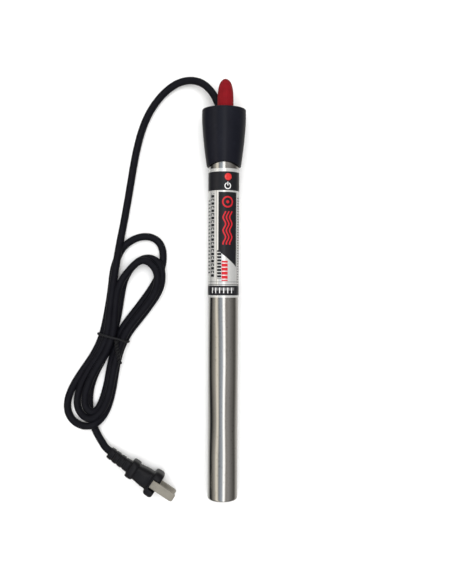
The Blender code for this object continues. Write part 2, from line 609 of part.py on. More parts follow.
def build_element(axis):
    """The heating coil on its ceramic core, with end discs, a mica liner and a soft pad."""
    rod("end_pad", 9.2 * MM, 1.1 * MM, 4.9 * MM, "bung_rubber", axis, segments=32)
    rod("lower_disc", 9.9 * MM, 5.2 * MM, 8.6 * MM, "ceramic", axis, segments=32)
    rod("upper_disc", 9.9 * MM, 117.9 * MM, 121.5 * MM, "ceramic", axis, segments=32)
    rod("ceramic_core", CORE_RADIUS, CORE_BOTTOM, CORE_TOP, "ceramic", axis)
    ring("mica_liner", 8.9 * MM, 9.5 * MM, CORE_BOTTOM, CORE_TOP, "mica", axis, segments=32)
    points_per_turn = 14
    low = 13.0 * MM
    high = 113.0 * MM
    count = COIL_TURNS * points_per_turn
    helix = []
    for step in range(count + 1):
        angle = 2.0 * math.pi * step / points_per_turn
        helix.append(Vector((COIL_RADIUS * math.cos(angle), low + (high - low) * step / count,
                             COIL_RADIUS * math.sin(angle))))
    wire("heating_coil", helix, 0.45 * MM, "resistance_wire", axis, 0)


def build_cord():
    """The cord's two free stretches, the hank between them and the tie round it."""
    wire("cord_lead", smooth_path(LEAD_ROUTE, 2), CORD_RADIUS, "cord_pvc", None)
    wire("cord_tail", smooth_path(TAIL_ROUTE, 2), CORD_RADIUS, "cord_pvc", None)
    outline = [(x * MM, y * MM) for x, y in HANK_OUTLINE]
    hank = extruded("cord_hank", outline, 0.0, HANK_HEIGHT, "cord_pvc", None, "Z")
    tie_frame = add_frame("tie_frame", TIE_CENTRE, (0.0, 0.0, TIE_TURN))
    half = TIE_WIDTH / 2.0
    inner = half - TIE_WIRE
    tie = block("wire_tie", (-half, -TIE_WIRE, TIE_BOTTOM), (half, TIE_WIRE, TIE_TOP), "cord_pvc", tie_frame)
    window = block("tie_window", (-inner, -3.0 * TIE_WIRE, TIE_BOTTOM + TIE_WIRE),
                   (inner, 3.0 * TIE_WIRE, TIE_TOP - TIE_WIRE), None, tie_frame)
    cut(tie, window)
    reach = half + 9.0 * MM
    groove = block("tie_groove", (-reach, -TIE_WIRE - GAP, -3.0 * MM),
                   (reach, TIE_WIRE + GAP, HANK_HEIGHT + 3.0 * MM), None, tie_frame)
    waist = block("tie_waist", (-inner + GAP, -6.0 * TIE_WIRE, TIE_BOTTOM + TIE_WIRE + GAP),
                  (inner - GAP, 6.0 * TIE_WIRE, TIE_TOP - TIE_WIRE - GAP), None, tie_frame)
    cut(groove, waist)
    cut(hank, groove)


def build_plug():
    """The moulded plug, which lies on the flat edge of its flange, and its two blades."""
    frame = add_frame("plug_frame", PLUG_START, (0.0, 0.0, PLUG_TURN))
    body_back = COLLAR_FRONT - 1.5 * MM
    body_front = FLANGE_BACK + 1.5 * MM
    body = block("plug_body", (body_back, -7.1 * MM, -7.1 * MM), (body_front, 7.1 * MM, 7.1 * MM),
                 "cord_pvc", frame, bevel=1.6 * MM)
    for vertex in body.data.vertices:
        narrowing = 0.18 * (body_front - vertex.co.x) / (body_front - body_back)
        vertex.co.y *= 1.0 - narrowing
    collar = block("plug_collar", (COLLAR_BACK, -7.5 * MM, -7.5 * MM), (COLLAR_FRONT, 7.5 * MM, 7.5 * MM),
                   None, frame, bevel=1.4 * MM)
    flange = block("plug_flange", (FLANGE_BACK, -10.8 * MM, -PLUG_HALF_HEIGHT),
                   (PLUG_FACE, 10.8 * MM, PLUG_HALF_HEIGHT), None, frame, bevel=1.4 * MM)
    relief_end = COLLAR_BACK + 1.0 * MM
    relief = block("plug_relief", (0.0, -RELIEF_HALF, -RELIEF_HALF), (relief_end, RELIEF_HALF, RELIEF_HALF),
                   None, frame, bevel=0.9 * MM)
    for vertex in relief.data.vertices:
        back = 1.0 - vertex.co.x / relief_end
        vertex.co.z -= RELIEF_DROOP * back * back
    join(body, collar, flange, relief)
    slot_front = PLUG_FACE + 1.0 * MM
    for name, side in (("upper_blade", 1.0), ("lower_blade", -1.0)):
        centre = side * BLADE_OFFSET
        low = centre - BLADE_HALF_THICKNESS
        high = centre + BLADE_HALF_THICKNESS
        block(name, (BLADE_BACK, -BLADE_HALF_WIDTH, low), (BLADE_TIP, BLADE_HALF_WIDTH, high),
              "nickel_blade", frame, bevel=0.35 * MM)
        slot = block(name + "_slot", (BLADE_BACK - GAP, -BLADE_HALF_WIDTH - GAP, low - GAP),
                     (slot_front, BLADE_HALF_WIDTH + GAP, high + GAP), None, frame)
        edge = sorted((centre - side * (BLADE_HALF_THICKNESS + GAP), side * (PLUG_HALF_HEIGHT + MM)))
        notch = block(name + "_notch", (FLANGE_BACK + 2.0 * MM, -BLADE_HALF_WIDTH - MM, edge[0]),
                      (slot_front, BLADE_HALF_WIDTH + MM, edge[1]), None, frame)
        cut(body, slot, notch)


def main():
    clear_scene()
    axis = add_frame("heater_axis", AXIS_START, (REST_TILT, 0.0, 0.0))
    build_tube(axis)
    build_head(axis)
    build_knob(axis)
    build_thermostat(axis)
    build_components(axis)
    build_element(axis)
    build_cord()
    build_plug()


main()
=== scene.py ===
# %% [markdown]
# # A submersible aquarium heater
#
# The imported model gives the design: where each solid lies, how big it is and what moves. This
# notebook gives the looks. It keeps the solids that are hidden inside the tube and only paints
# them, and it builds fine surfaces for all that shows: tube, printed sleeve, cap, knob, cord,
# tie and plug. Each surface is a formula on a grid, worked out with numpy as whole arrays.

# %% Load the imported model
import json
import math

import bpy
import numpy as np
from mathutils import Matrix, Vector


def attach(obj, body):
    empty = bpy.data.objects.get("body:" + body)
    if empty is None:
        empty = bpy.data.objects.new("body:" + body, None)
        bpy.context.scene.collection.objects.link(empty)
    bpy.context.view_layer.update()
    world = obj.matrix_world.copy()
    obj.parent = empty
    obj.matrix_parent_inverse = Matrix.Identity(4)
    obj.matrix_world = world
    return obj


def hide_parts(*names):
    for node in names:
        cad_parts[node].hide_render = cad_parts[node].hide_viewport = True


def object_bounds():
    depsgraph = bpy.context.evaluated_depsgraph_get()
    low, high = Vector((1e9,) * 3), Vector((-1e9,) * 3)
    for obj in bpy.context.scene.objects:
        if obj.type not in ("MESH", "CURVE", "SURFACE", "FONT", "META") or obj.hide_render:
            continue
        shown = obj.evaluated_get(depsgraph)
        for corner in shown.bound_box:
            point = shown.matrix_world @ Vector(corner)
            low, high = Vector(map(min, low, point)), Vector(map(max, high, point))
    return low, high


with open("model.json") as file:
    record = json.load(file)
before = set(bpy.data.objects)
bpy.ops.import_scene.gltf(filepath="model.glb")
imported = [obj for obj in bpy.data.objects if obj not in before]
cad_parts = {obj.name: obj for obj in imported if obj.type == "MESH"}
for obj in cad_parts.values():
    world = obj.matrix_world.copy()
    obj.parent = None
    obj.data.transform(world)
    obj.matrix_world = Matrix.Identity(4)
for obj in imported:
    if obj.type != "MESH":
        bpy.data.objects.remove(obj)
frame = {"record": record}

MM = 0.001
cad_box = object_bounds()
size_mm = [round((high - low) / MM, 1) for low, high in zip(*cad_box)]
print("CAD box:", size_mm, "mm")

# %% [markdown]
# ## The heater's own axes
#
# The heater lies on the rim of its cap and on the closed end of its tube, so its axis rises a
# little towards the cap. The record knows both: the knob turns about an axis that is parallel
# to the tube, and the flat mount at the closed end is where the tube's axis starts. A point is
# then given by x across, s along the tube and n away from the floor, all in millimetres.

# %% Axes of the heater
joints = {joint["name"]: joint for joint in frame["record"]["behaviour"]["joints"]}
mounts = {mount["name"]: mount for mount in frame["record"]["mounts"]}
ALONG = np.array(joints["knob_turn"]["axis"], dtype=float)
ACROSS = np.array([1.0, 0.0, 0.0])
AWAY = np.cross(ACROSS, ALONG)
START = np.array(mounts["closed_end"]["pos_m"], dtype=float)


def heater_point(x, s, n):
    """World place of x across, s along and n above the tube's axis, in millimetres."""
    x, s, n = np.broadcast_arrays(x, s, n)
    places = x[..., None] * ACROSS + s[..., None] * ALONG + n[..., None] * AWAY
    return START + places * MM


print("axis rises", round(math.degrees(math.asin(ALONG[2])), 2), "degrees")

# %% [markdown]
# ## The camera
#
# The camera looks straight down at the heater from a little over half a metre, so that the
# whole cord lies in view beside it. Its lens is a little longer than a normal one.

# %% Camera
EYE_HEIGHT = 559.4
EYE_X = 2.0
EYE_Y = -0.9
EYE_TURN = 0.0047
LENS_MM = 45.74
camera_data = bpy.data.cameras.new("camera")
camera_data.lens = LENS_MM
camera_data.sensor_width = 36.0
camera = bpy.data.objects.new("camera", camera_data)
camera.location = (EYE_X * MM, EYE_Y * MM, EYE_HEIGHT * MM)
camera.rotation_euler.z = EYE_TURN
bpy.context.scene.collection.objects.link(camera)
bpy.context.scene.camera = camera
bpy.context.scene.view_settings.view_transform = "Standard"


# %% [markdown]
# ## Finishes as expressions
#
# A finish is a net of nodes. Linking it by hand is long and hard to read, so one class wraps a
# number socket and turns Python arithmetic into Math nodes, and another makes every other node
# with a single method. Colours always go through a Mix node.

# %% Shader maths
class Value:
    """A number socket of a finish. Arithmetic on it adds Math nodes."""

    def __init__(self, finish, socket):
        self.finish = finish
        self.socket = socket

    def math(self, operation, *others, clamp=False):
        values = {0: self}
        values.update({index + 1: other for index, other in enumerate(others)})
        node = self.finish.add("ShaderNodeMath", {"operation": operation, "use_clamp": clamp}, values)
        return Value(self.finish, node.outputs[0])

    def __add__(self, other):
        return self.math("ADD", other)

    __radd__ = __add__

    def __sub__(self, other):
        return self.math("SUBTRACT", other)

    def __rsub__(self, other):
        return self.math("MULTIPLY", -1.0) + other

    def __mul__(self, other):
        return self.math("MULTIPLY", other)

    __rmul__ = __mul__

    def __truediv__(self, other):
        return self.math("DIVIDE", other)

    def __abs__(self):
        return self.math("ABSOLUTE")

    def above(self, edge, blur=0.1):
        """1 where the value is over the edge and 0 where it is under, over a short ramp."""
        return ((self - edge) / blur + 0.5).math("MULTIPLY", 1.0, clamp=True)

    def below(self, edge, blur=0.1):
        return 1.0 - self.above(edge, blur)

    def within(self, low, high, blur=0.1):
        return self.above(low, blur) * self.below(high, blur)

    def either(self, other):
        return self.math("MAXIMUM", other)


class NodeNet:
    """A net of nodes, with one method that makes every node."""

    def __init__(self, tree):
        self.tree = tree

    def add(self, kind, settings=None, values=None):
        """A node of that type, with its settings first and then its sockets' values or links."""
        node = self.tree.nodes.new(kind)
        for name, setting in (settings or {}).items():
            if name == "stops":
                for element, (position, colour) in zip(node.color_ramp.elements, setting):
                    element.position = position
                    element.color = (*colour, 1.0)
                for position, colour in setting[2:]:
                    node.color_ramp.elements.new(position).color = (*colour, 1.0)
            else:
                setattr(node, name, setting)
        for name, value in (values or {}).items():
            self.feed(node.inputs[name], value)
        return node

    def feed(self, socket, value):
        if isinstance(value, Value):
            self.tree.links.new(value.socket, socket)
        elif isinstance(value, bpy.types.NodeSocket):
            self.tree.links.new(value, socket)
        elif socket.type == "RGBA" and len(value) == 3:
            socket.default_value = (*value, 1.0)
        else:
            socket.default_value = value

    def mix(self, factor, first, second):
        """The first colour where the factor is 0 and the second where it is 1."""
        node = self.add("ShaderNodeMix", {"data_type": "RGBA"}, {0: factor, 6: first, 7: second})
        return node.outputs[2]


class Finish(NodeNet):
    """A material being put together round its Principled shader."""

    def __init__(self, name):
        self.material = bpy.data.materials.new(name)
        self.material.use_nodes = True
        super().__init__(self.material.node_tree)
        self.shader = self.tree.nodes["Principled BSDF"]
        self.place = self.add("ShaderNodeTexCoord").outputs["Object"]

    def set(self, **sockets):
        for name, value in sockets.items():
            self.feed(self.shader.inputs[name.replace("_", " ")], value)
        return self

    def stretched(self, scale):
        """Object coordinates in metres, multiplied by three factors."""
        node = self.add("ShaderNodeMapping", {}, {"Vector": self.place, "Scale": scale})
        return node.outputs[0]

    def noise(self, scale, detail=3.0, stretch=(1.0, 1.0, 1.0), roughness=0.55):
        node = self.add("ShaderNodeTexNoise", {}, {"Vector": self.stretched(stretch), "Scale": scale,
                                                   "Detail": detail, "Roughness": roughness})
        return Value(self, node.outputs["Fac"])

    def bump(self, height, strength=0.3, distance=0.0003):
        node = self.add("ShaderNodeBump", {}, {"Strength": strength, "Distance": distance,
                                               "Height": height})
        self.feed(self.shader.inputs["Normal"], node.outputs[0])
        return self


# %% [markdown]
# ## The floor and the room
#
# The heater lies on plain white paper. The paper is a single square with a faint cloudiness. It
# is left out of glossy reflections, because the room's own bands already give the steel its
# light rims. The bands depend only on the angle round the tube, so they show in the polished
# wall as streaks that run along it: a cream strip at the left, a white one overhead. A large
# soft lamp lights the paper.

# %% Floor
def make_floor():
    size = 4.0
    mesh = bpy.data.meshes.new("studio_floor")
    corners = [(-size, -size, 0.0), (size, -size, 0.0), (size, size, 0.0), (-size, size, 0.0)]
    mesh.from_pydata(corners, [], [(0, 1, 2, 3)])
    floor = bpy.data.objects.new("studio_floor", mesh)
    bpy.context.scene.collection.objects.link(floor)
    floor.location.z = -0.02 * MM
    floor.visible_glossy = False
    paper = Finish("paper_floor")
    cloud = paper.noise(3.0)
    paper.set(Base_Color=paper.mix(cloud, (0.90, 0.90, 0.90), (0.93, 0.93, 0.93)), Roughness=0.9)
    paper.shader.inputs["Specular IOR Level"].default_value = 0.1
    mesh.materials.append(paper.material)


make_floor()


# %% Room and lamp
BACKDROP = (0.92, 0.92, 0.92)
# Degrees from straight overhead, towards +X, and the room's red, green and blue there
ROOM_BANDS = [
    (-180, 0.75, 0.75, 0.74), (-132, 0.60, 0.60, 0.58), (-114, 0.03, 0.03, 0.03), (-98, 0.02, 0.02, 0.02),
    (-84, 0.20, 0.19, 0.17), (-64, 0.42, 0.40, 0.36), (-52, 1.05, 0.98, 0.84), (-44, 1.00, 0.94, 0.82),
    (-34, 0.24, 0.25, 0.26), (-18, 0.42, 0.47, 0.53), (-8, 0.50, 0.54, 0.60), (0, 1.7, 1.7, 1.7),
    (9, 1.7, 1.7, 1.66), (16, 0.30, 0.28, 0.26), (36, 0.34, 0.33, 0.32), (60, 0.20, 0.19, 0.18),
    (92, 0.08, 0.075, 0.07), (106, 0.20, 0.19, 0.18), (126, 0.55, 0.53, 0.50), (180, 0.75, 0.75, 0.74),
]


def make_room():
    """A room whose brightness depends on the angle round the tube's direction only.

    Behind the object the room is plain and pale; the bands only light it and show in its gloss.
    """
    world = bpy.data.worlds.new("studio")
    bpy.context.scene.world = world
    world.use_nodes = True
    room = NodeNet(world.node_tree)
    direction = room.add("ShaderNodeTexCoord").outputs["Generated"]
    parts = room.add("ShaderNodeSeparateXYZ", {}, {"Vector": direction})
    angle = Value(room, parts.outputs["X"]).math("ARCTAN2", Value(room, parts.outputs["Z"]))
    stops = [((degrees + 180.0) / 360.0, colour) for degrees, *colour in ROOM_BANDS]
    bands = room.add("ShaderNodeValToRGB", {"stops": stops}, {"Fac": angle / (2.0 * math.pi) + 0.5})
    seen = Value(room, room.add("ShaderNodeLightPath").outputs["Is Camera Ray"])
    sky = world.node_tree.nodes["Background"]
    room.feed(sky.inputs["Color"], room.mix(seen, bands.outputs[0], BACKDROP))
    sky.inputs["Strength"].default_value = 1.0


def add_lamp(name, place, size, energy, colour=(1.0, 1.0, 1.0)):
    data = bpy.data.lights.new(name, "AREA")
    data.shape = "RECTANGLE"
    data.size = size[0]
    data.size_y = size[1]
    data.energy = energy
    data.color = colour
    lamp = bpy.data.objects.new(name, data)
    lamp.location = place
    lamp.rotation_euler = (-Vector(place)).to_track_quat("-Z", "Y").to_euler()
    bpy.context.scene.collection.objects.link(lamp)
    return lamp


make_room()
overhead = add_lamp("overhead_softbox", (0.15, 0.1, 2.0), (2.6, 2.6), 54.0)
overhead.visible_glossy = False


# %% [markdown]
# ## Surfaces from formulas
#
# Almost every piece here is a grid of points: rows along the piece, columns round it. A turned
# piece needs only its profile, and a profile needs only its corners and how round each one is.
# One function turns corners into a smooth profile, and one turns a grid into a closed mesh.

# %% Profiles and skins
def rounded_profile(corners, steps=6):
    """Points of a profile through (r, s, fillet) corners.

    Each corner is replaced by a quadratic curve between two points, a fillet's length before
    and after it, so a fillet of 0 keeps the corner sharp.
    """
    places = np.array([corner[:2] for corner in corners], dtype=float)
    points = [places[0]]
    for index in range(1, len(corners) - 1):
        fillet = corners[index][2]
        corner = places[index]
        if fillet <= 0.0:
            points.append(corner)
            continue
        back = places[index - 1] - corner
        ahead = places[index + 1] - corner
        begin = corner + back / np.linalg.norm(back) * fillet
        end = corner + ahead / np.linalg.norm(ahead) * fillet
        t = np.linspace(0.0, 1.0, steps)[:, None]
        points.extend((1 - t) ** 2 * begin + 2 * t * (1 - t) * corner + t * t * end)
    points.append(places[-1])
    return np.array(points)


def skin(name, grid, looped=False, uv=None, crease=40.0):
    """A closed mesh from a grid of points, shape (rows, columns, 3).

    Columns always close round the piece. Rows close too if looped; otherwise each end is closed
    by a fan to the middle of its row. Faces are turned out by the sign of the enclosed volume.
    """
    rows, columns, _ = grid.shape
    points = grid.reshape(-1, 3)
    last = rows if looped else rows - 1
    row, column = np.meshgrid(np.arange(last), np.arange(columns), indexing="ij")
    next_row = (row + 1) % rows
    next_column = (column + 1) % columns
    quads = np.stack([row * columns + column, row * columns + next_column,
                      next_row * columns + next_column, next_row * columns + column], axis=-1)
    quads = quads.reshape(-1, 4)
    faces = quads.tolist()
    if not looped:
        middle = np.array([grid[0].mean(axis=0), grid[-1].mean(axis=0)])
        points = np.vstack([points, middle])
        around = np.arange(columns)
        after = (around + 1) % columns
        first = np.stack([np.full(columns, rows * columns), after, around], axis=-1)
        base = (rows - 1) * columns
        final = np.stack([np.full(columns, rows * columns + 1), base + around, base + after], axis=-1)
        faces += first.tolist() + final.tolist()
    centre = points.mean(axis=0)
    a, b, c, d = (points[quads[:, corner]] - centre for corner in range(4))
    volume = np.einsum("ij,ij->i", np.cross(a, b), c).sum() + np.einsum("ij,ij->i", np.cross(a, c), d).sum()
    if volume < 0.0:
        faces = [face[::-1] for face in faces]
    mesh = bpy.data.meshes.new(name)
    mesh.from_pydata(points.tolist(), [], faces)
    if uv is not None:
        layer = mesh.uv_layers.new(name="print")
        corner_row = np.stack([row, row, row + 1, row + 1], axis=-1).reshape(-1, 4)
        corner_column = np.stack([column, column + 1, column + 1, column], axis=-1).reshape(-1, 4)
        if volume < 0.0:
            corner_row = corner_row[:, ::-1]
            corner_column = corner_column[:, ::-1]
        values = np.zeros((len(mesh.loops), 2))
        count = corner_row.size
        values[:count] = uv[corner_row.ravel() % uv.shape[0], corner_column.ravel()]
        layer.data.foreach_set("uv", values.ravel())
    mesh.shade_smooth()
    mesh.set_sharp_from_angle(angle=math.radians(crease))
    return mesh


def put(name, mesh, finish, body, *replaced, slot):
    """Link a finished piece: its material, the body it rides on and the solids it stands for."""
    piece = bpy.data.objects.new(name, mesh)
    bpy.context.scene.collection.objects.link(piece)
    mesh.materials.append(finish.material)
    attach(piece, body)
    if replaced:
        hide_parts(*replaced)
    if hasattr(mesh, "polygons"):
        print(name, len(mesh.polygons), "faces")
    return piece


def turned(name, profile, x=0.0, n=0.0, columns=128, looped=False, crease=40.0):
    """A turned surface: row i is a circle of radius r[i] at station s[i] round (x, n)."""
    angle = np.linspace(0.0, 2.0 * np.pi, columns, endpoint=False)
    radius = np.maximum(profile[:, 0], 0.0)[:, None]
    grid = heater_point(x + radius * np.sin(angle), profile[:, 1][:, None] + 0.0 * angle,
                        n + radius * np.cos(angle))
    return skin(name, grid, looped, crease=crease)


# %% [markdown]
# ## The mains cord
#
# The cord is one fixed length of round black flex. It leaves the cap behind the knob, sinks to
# the floor in one wide bend, and runs into a hank of three turns that a wire tie holds. The
# turns are stacked two deep: a strand that lies on another is one cord higher. It could be a
# simulated rope, but a hank is laid by hand, so its points are listed, turn by turn.
# A loop joins the turns, and a smoothing that doesn't shrink the bends evens them out.

# %% Route of the cord
CORD_DIAMETER = 5.5
FLOOR_LEVEL = CORD_DIAMETER / 2.0

LEAD = [
    (-2.8, 134.4, 11.8),
    (-5.5, 140.1, 11.4), (-7.6, 144.5, 10.8), (-11.1, 149.3, 10.0), (-15.4, 153.2, 9.0),
    (-20.7, 155.6, 7.7), (-26.7, 156.5, 6.3), (-32.7, 155.5, 5.0), (-38.4, 152.9, 4.0),
    (-44.1, 148.7, 3.2), (-49.3, 143.1, 2.75), (-54.2, 136.3, 2.75), (-58.1, 128.7, 2.75),
    (-61.5, 120.0, 2.75), (-64.7, 108.7, 2.75), (-67.6, 94.4, 2.75), (-69.9, 79.4, 2.75),
    (-72.4, 64.4, 2.75), (-75.0, 50.1, 2.75), (-76.5, 41.8, 3.2), (-77.6, 35.0, 5.0),
    (-78.4, 28.1, 7.2), (-79.2, 22.1, 8.25), (-80.1, 16.2, 8.25), (-81.0, 10.2, 8.25),
]

# One turn of the hank: down its left side, round its foot, up its right side and over its top
TURN_1 = [
    (-82.0, 3.5, 8.25), (-83.0, -3.9, 8.25), (-84.0, -11.3, 8.25), (-84.8, -19.5, 8.25),
    (-85.6, -28.4, 8.25), (-87.2, -35.9, 8.0), (-90.4, -43.7, 7.6), (-95.5, -52.4, 6.4),
    (-100.6, -60.1, 4.8), (-104.9, -67.7, 3.4), (-107.8, -75.3, 2.8),
    (-109.2, -82.8, 2.75), (-108.5, -87.7, 3.0), (-106.3, -91.6, 4.0), (-102.8, -94.4, 6.2),
    (-99.1, -95.4, 8.1), (-95.4, -94.4, 8.4), (-91.8, -91.6, 8.2), (-88.8, -87.6, 7.8),
    (-86.5, -82.4, 7.7), (-84.6, -76.0, 7.7), (-83.3, -69.7, 7.7), (-82.1, -63.4, 7.8),
    (-80.7, -57.0, 8.0), (-79.1, -51.0, 8.25), (-77.3, -44.7, 8.25), (-75.3, -38.4, 8.25),
    (-72.9, -32.8, 8.25), (-69.8, -27.6, 8.25), (-65.9, -22.4, 8.25), (-61.6, -16.8, 8.25),
    (-56.6, -10.5, 8.4), (-53.0, -5.2, 8.8), (-50.4, -0.0, 9.8), (-48.9, 5.1, 11.0),
    (-48.8, 10.3, 11.0), (-50.0, 14.8, 10.2), (-52.7, 18.5, 9.2), (-56.2, 21.2, 8.5),
    (-59.8, 22.3, 8.25), (-63.7, 20.9, 8.25), (-67.2, 17.8, 8.25), (-70.6, 14.0, 8.25),
]
TURN_2 = [
    (-73.6, 10.1, 8.25), (-76.5, 5.4, 8.25), (-78.7, -0.5, 8.0), (-79.9, -7.8, 7.4),
    (-80.6, -15.4, 7.2), (-80.9, -22.5, 7.8), (-81.5, -29.1, 8.25), (-83.0, -35.8, 8.25),
    (-85.5, -42.5, 8.25), (-88.6, -48.9, 8.25), (-92.5, -55.2, 8.25), (-96.3, -61.9, 8.0),
    (-99.5, -68.7, 7.8),
    (-101.7, -75.4, 7.4), (-102.6, -81.4, 7.2), (-101.9, -86.2, 7.6), (-99.5, -89.3, 8.2),
    (-96.3, -90.4, 7.6), (-93.7, -89.0, 6.0), (-91.6, -85.6, 4.4),
    (-90.0, -81.5, 3.2), (-88.3, -76.0, 2.75), (-86.7, -69.6, 2.75), (-85.6, -63.6, 2.75),
    (-84.4, -56.1, 2.75), (-82.8, -49.7, 2.75), (-81.2, -44.1, 2.75), (-79.6, -38.4, 2.75),
    (-77.8, -33.2, 2.75), (-75.3, -28.3, 2.75), (-71.8, -23.0, 2.75), (-68.0, -18.0, 2.75),
    (-62.8, -11.1, 2.75), (-58.0, -4.7, 2.75), (-53.9, 1.5, 2.75), (-50.2, 7.9, 2.75),
    (-47.4, 14.2, 2.75),
    (-45.7, 20.3, 2.75), (-45.4, 26.3, 2.75), (-46.3, 32.3, 2.75), (-49.0, 36.5, 2.75),
    (-53.2, 39.3, 2.75), (-58.4, 40.3, 2.75), (-63.9, 39.5, 2.75), (-69.1, 37.1, 2.75),
    (-73.4, 33.9, 2.75),
]
TURN_3 = [
    (-76.6, 30.2, 2.75), (-78.8, 25.7, 2.75), (-80.8, 20.5, 2.75), (-82.3, 15.6, 2.75),
    (-83.1, 10.3, 2.75), (-83.7, 4.3, 2.75), (-84.5, -2.4, 2.75), (-85.7, -9.9, 2.75),
    (-86.8, -16.7, 2.75), (-88.1, -23.5, 2.75), (-89.5, -29.8, 2.75), (-91.1, -35.1, 2.75),
    (-93.3, -40.7, 2.75), (-96.4, -47.0, 2.75), (-100.5, -53.4, 2.75), (-104.6, -59.4, 2.75),
    (-108.7, -65.6, 2.75), (-112.1, -71.6, 2.75),
    (-114.6, -77.4, 2.75), (-116.2, -83.2, 2.75), (-116.3, -88.9, 2.75), (-114.6, -94.1, 2.9),
    (-111.3, -98.0, 3.6), (-106.8, -100.4, 5.0), (-101.3, -101.1, 7.2), (-96.8, -100.1, 8.25),
    (-92.8, -97.8, 6.6), (-89.6, -94.2, 4.4),
    (-86.9, -89.1, 3.0), (-84.7, -82.7, 2.75), (-82.9, -75.2, 2.75), (-81.6, -67.7, 2.75),
    (-80.4, -60.2, 2.75), (-79.1, -52.7, 2.75), (-76.9, -45.2, 2.75), (-74.1, -38.0, 2.75),
    (-70.6, -32.0, 2.75), (-66.9, -26.7, 2.75), (-63.2, -22.2, 2.75), (-59.6, -17.5, 3.0),
    (-56.2, -12.9, 3.4), (-53.0, -8.4, 4.2), (-50.0, -3.9, 5.4), (-47.6, 0.6, 6.8), (-46.2, 5.0, 8.0),
    (-45.7, 9.2, 8.3), (-45.9, 14.0, 8.25), (-47.3, 18.3, 7.4), (-50.0, 21.7, 6.0), (-53.4, 23.6, 4.6),
    (-57.4, 24.1, 3.4), (-61.6, 23.0, 2.75), (-65.4, 20.4, 2.75), (-69.0, 16.9, 2.75),
]
TAIL = [
    (-71.5, 12.9, 2.75), (-73.5, 9.0, 2.75), (-74.9, 4.7, 2.75), (-76.1, -0.9, 2.75),
    (-77.1, -7.3, 2.75), (-78.1, -14.0, 2.75), (-79.3, -20.4, 2.75), (-80.9, -27.2, 2.75),
    (-83.0, -33.9, 2.75), (-85.0, -40.3, 2.75), (-87.4, -46.3, 2.75), (-90.3, -52.3, 2.75),
    (-93.7, -58.4, 2.75), (-96.7, -65.1, 2.75), (-98.7, -71.9, 2.75), (-99.8, -78.3, 2.75),
    (-99.9, -85.0, 2.75), (-99.3, -91.0, 2.75), (-98.2, -96.3, 2.75), (-96.7, -101.5, 2.75),
    (-95.0, -105.6, 2.75), (-92.8, -109.8, 2.8), (-90.3, -113.6, 3.8),
    (-87.4, -117.2, 5.4), (-83.4, -120.2, 6.6), (-80.6, -122.1, 7.0),
]


def cord_route():
    route = list(LEAD)
    for turn in (TURN_1, TURN_2, TURN_3):
        route += turn
    return np.array(route + TAIL)


def relaxed(route, passes=3):
    """Each inner point moves towards the middle of its neighbours, then a little further back.

    The second step undoes the shrinking of the loops and leaves only the smoothing.
    """
    for _ in range(passes):
        for share in (0.40, -0.42):
            middle = (route[:-2] + route[2:]) / 2.0
            inner = (1.0 - share) * route[3:-3] + share * middle[2:-2]
            route = np.vstack([route[:3], inner, route[-3:]])
    route[:, 2] = np.maximum(route[:, 2], FLOOR_LEVEL + 0.05)
    return route


def cord_curve(name, route, diameter):
    """One open Bezier spline through the route, with a round bevel."""
    curve = bpy.data.curves.new(name, "CURVE")
    curve.dimensions = "3D"
    curve.resolution_u = 8
    curve.bevel_depth = diameter / 2.0 * MM
    curve.bevel_resolution = 6
    curve.use_fill_caps = True
    line = curve.splines.new("BEZIER")
    line.bezier_points.add(len(route) - 1)
    line.bezier_points.foreach_set("co", (route * MM).ravel())
    for point in line.bezier_points:
        point.handle_left_type = "AUTO"
        point.handle_right_type = "AUTO"
    return curve


def flex_finish():
    """Black flexible PVC: nearly smooth, with faint scuffs that catch the light."""
    flex = Finish("black_flex")
    scuff = flex.noise(220.0, 4.0)
    grain = flex.noise(1800.0, 2.0)
    flex.set(Base_Color=flex.mix(scuff, (0.0035, 0.0035, 0.0055), (0.009, 0.009, 0.012)),
             Roughness=0.36 + 0.16 * scuff)
    flex.shader.inputs["Specular IOR Level"].default_value = 0.08
    return flex.bump(grain, 0.15, 0.0001)


route = relaxed(cord_route())
mains_cord = put("mains_cord", cord_curve("mains_cord", route, CORD_DIAMETER), flex_finish(), "heater",
                 "cord_lead", "cord_hank", "cord_tail", slot="cord")

# %% [markdown]
# ## The steel tube
#
# The tube is thin drawn steel, closed at one end with a small rounded edge. It could be a
# cylinder with a bevel, but a turned profile gives the wall, the round edge and the inside in
# one closed surface. Its finish is metal that is nearly a mirror, with faint drawing lines
# that run along the tube, so that lamps show in it as long streaks.

# %% Tube
TUBE_RADIUS = 11.0
TUBE_WALL = 0.5
TUBE_LENGTH = 262.7
END_FILLET = 2.0
POLE = 0.4


def steel_finish():
    """Drawn steel: lines stretched along the tube, cloudy polish and a few small marks.

    A very gentle, wide waver of the surface makes the streaks wander, as on real thin tube.
    """
    steel = Finish("drawn_steel")
    lines = steel.noise(900.0, 3.0, (1.0, 0.02, 1.0))
    cloud = steel.noise(60.0, 4.0, (1.0, 0.4, 1.0))
    specks = steel.noise(700.0, 2.0).above(0.68, 0.06)
    tone = steel.mix(cloud, (0.60, 0.59, 0.57), (0.70, 0.69, 0.67))
    steel.set(Base_Color=steel.mix(0.5 * specks, tone, (0.30, 0.28, 0.26)),
              Roughness=0.10 + 0.06 * cloud + 0.05 * lines, Metallic=1.0)
    waver = steel.noise(26.0, 1.0, (1.0, 0.45, 1.0))
    return steel.bump(waver + 0.0006 * lines, 1.0, 0.004)


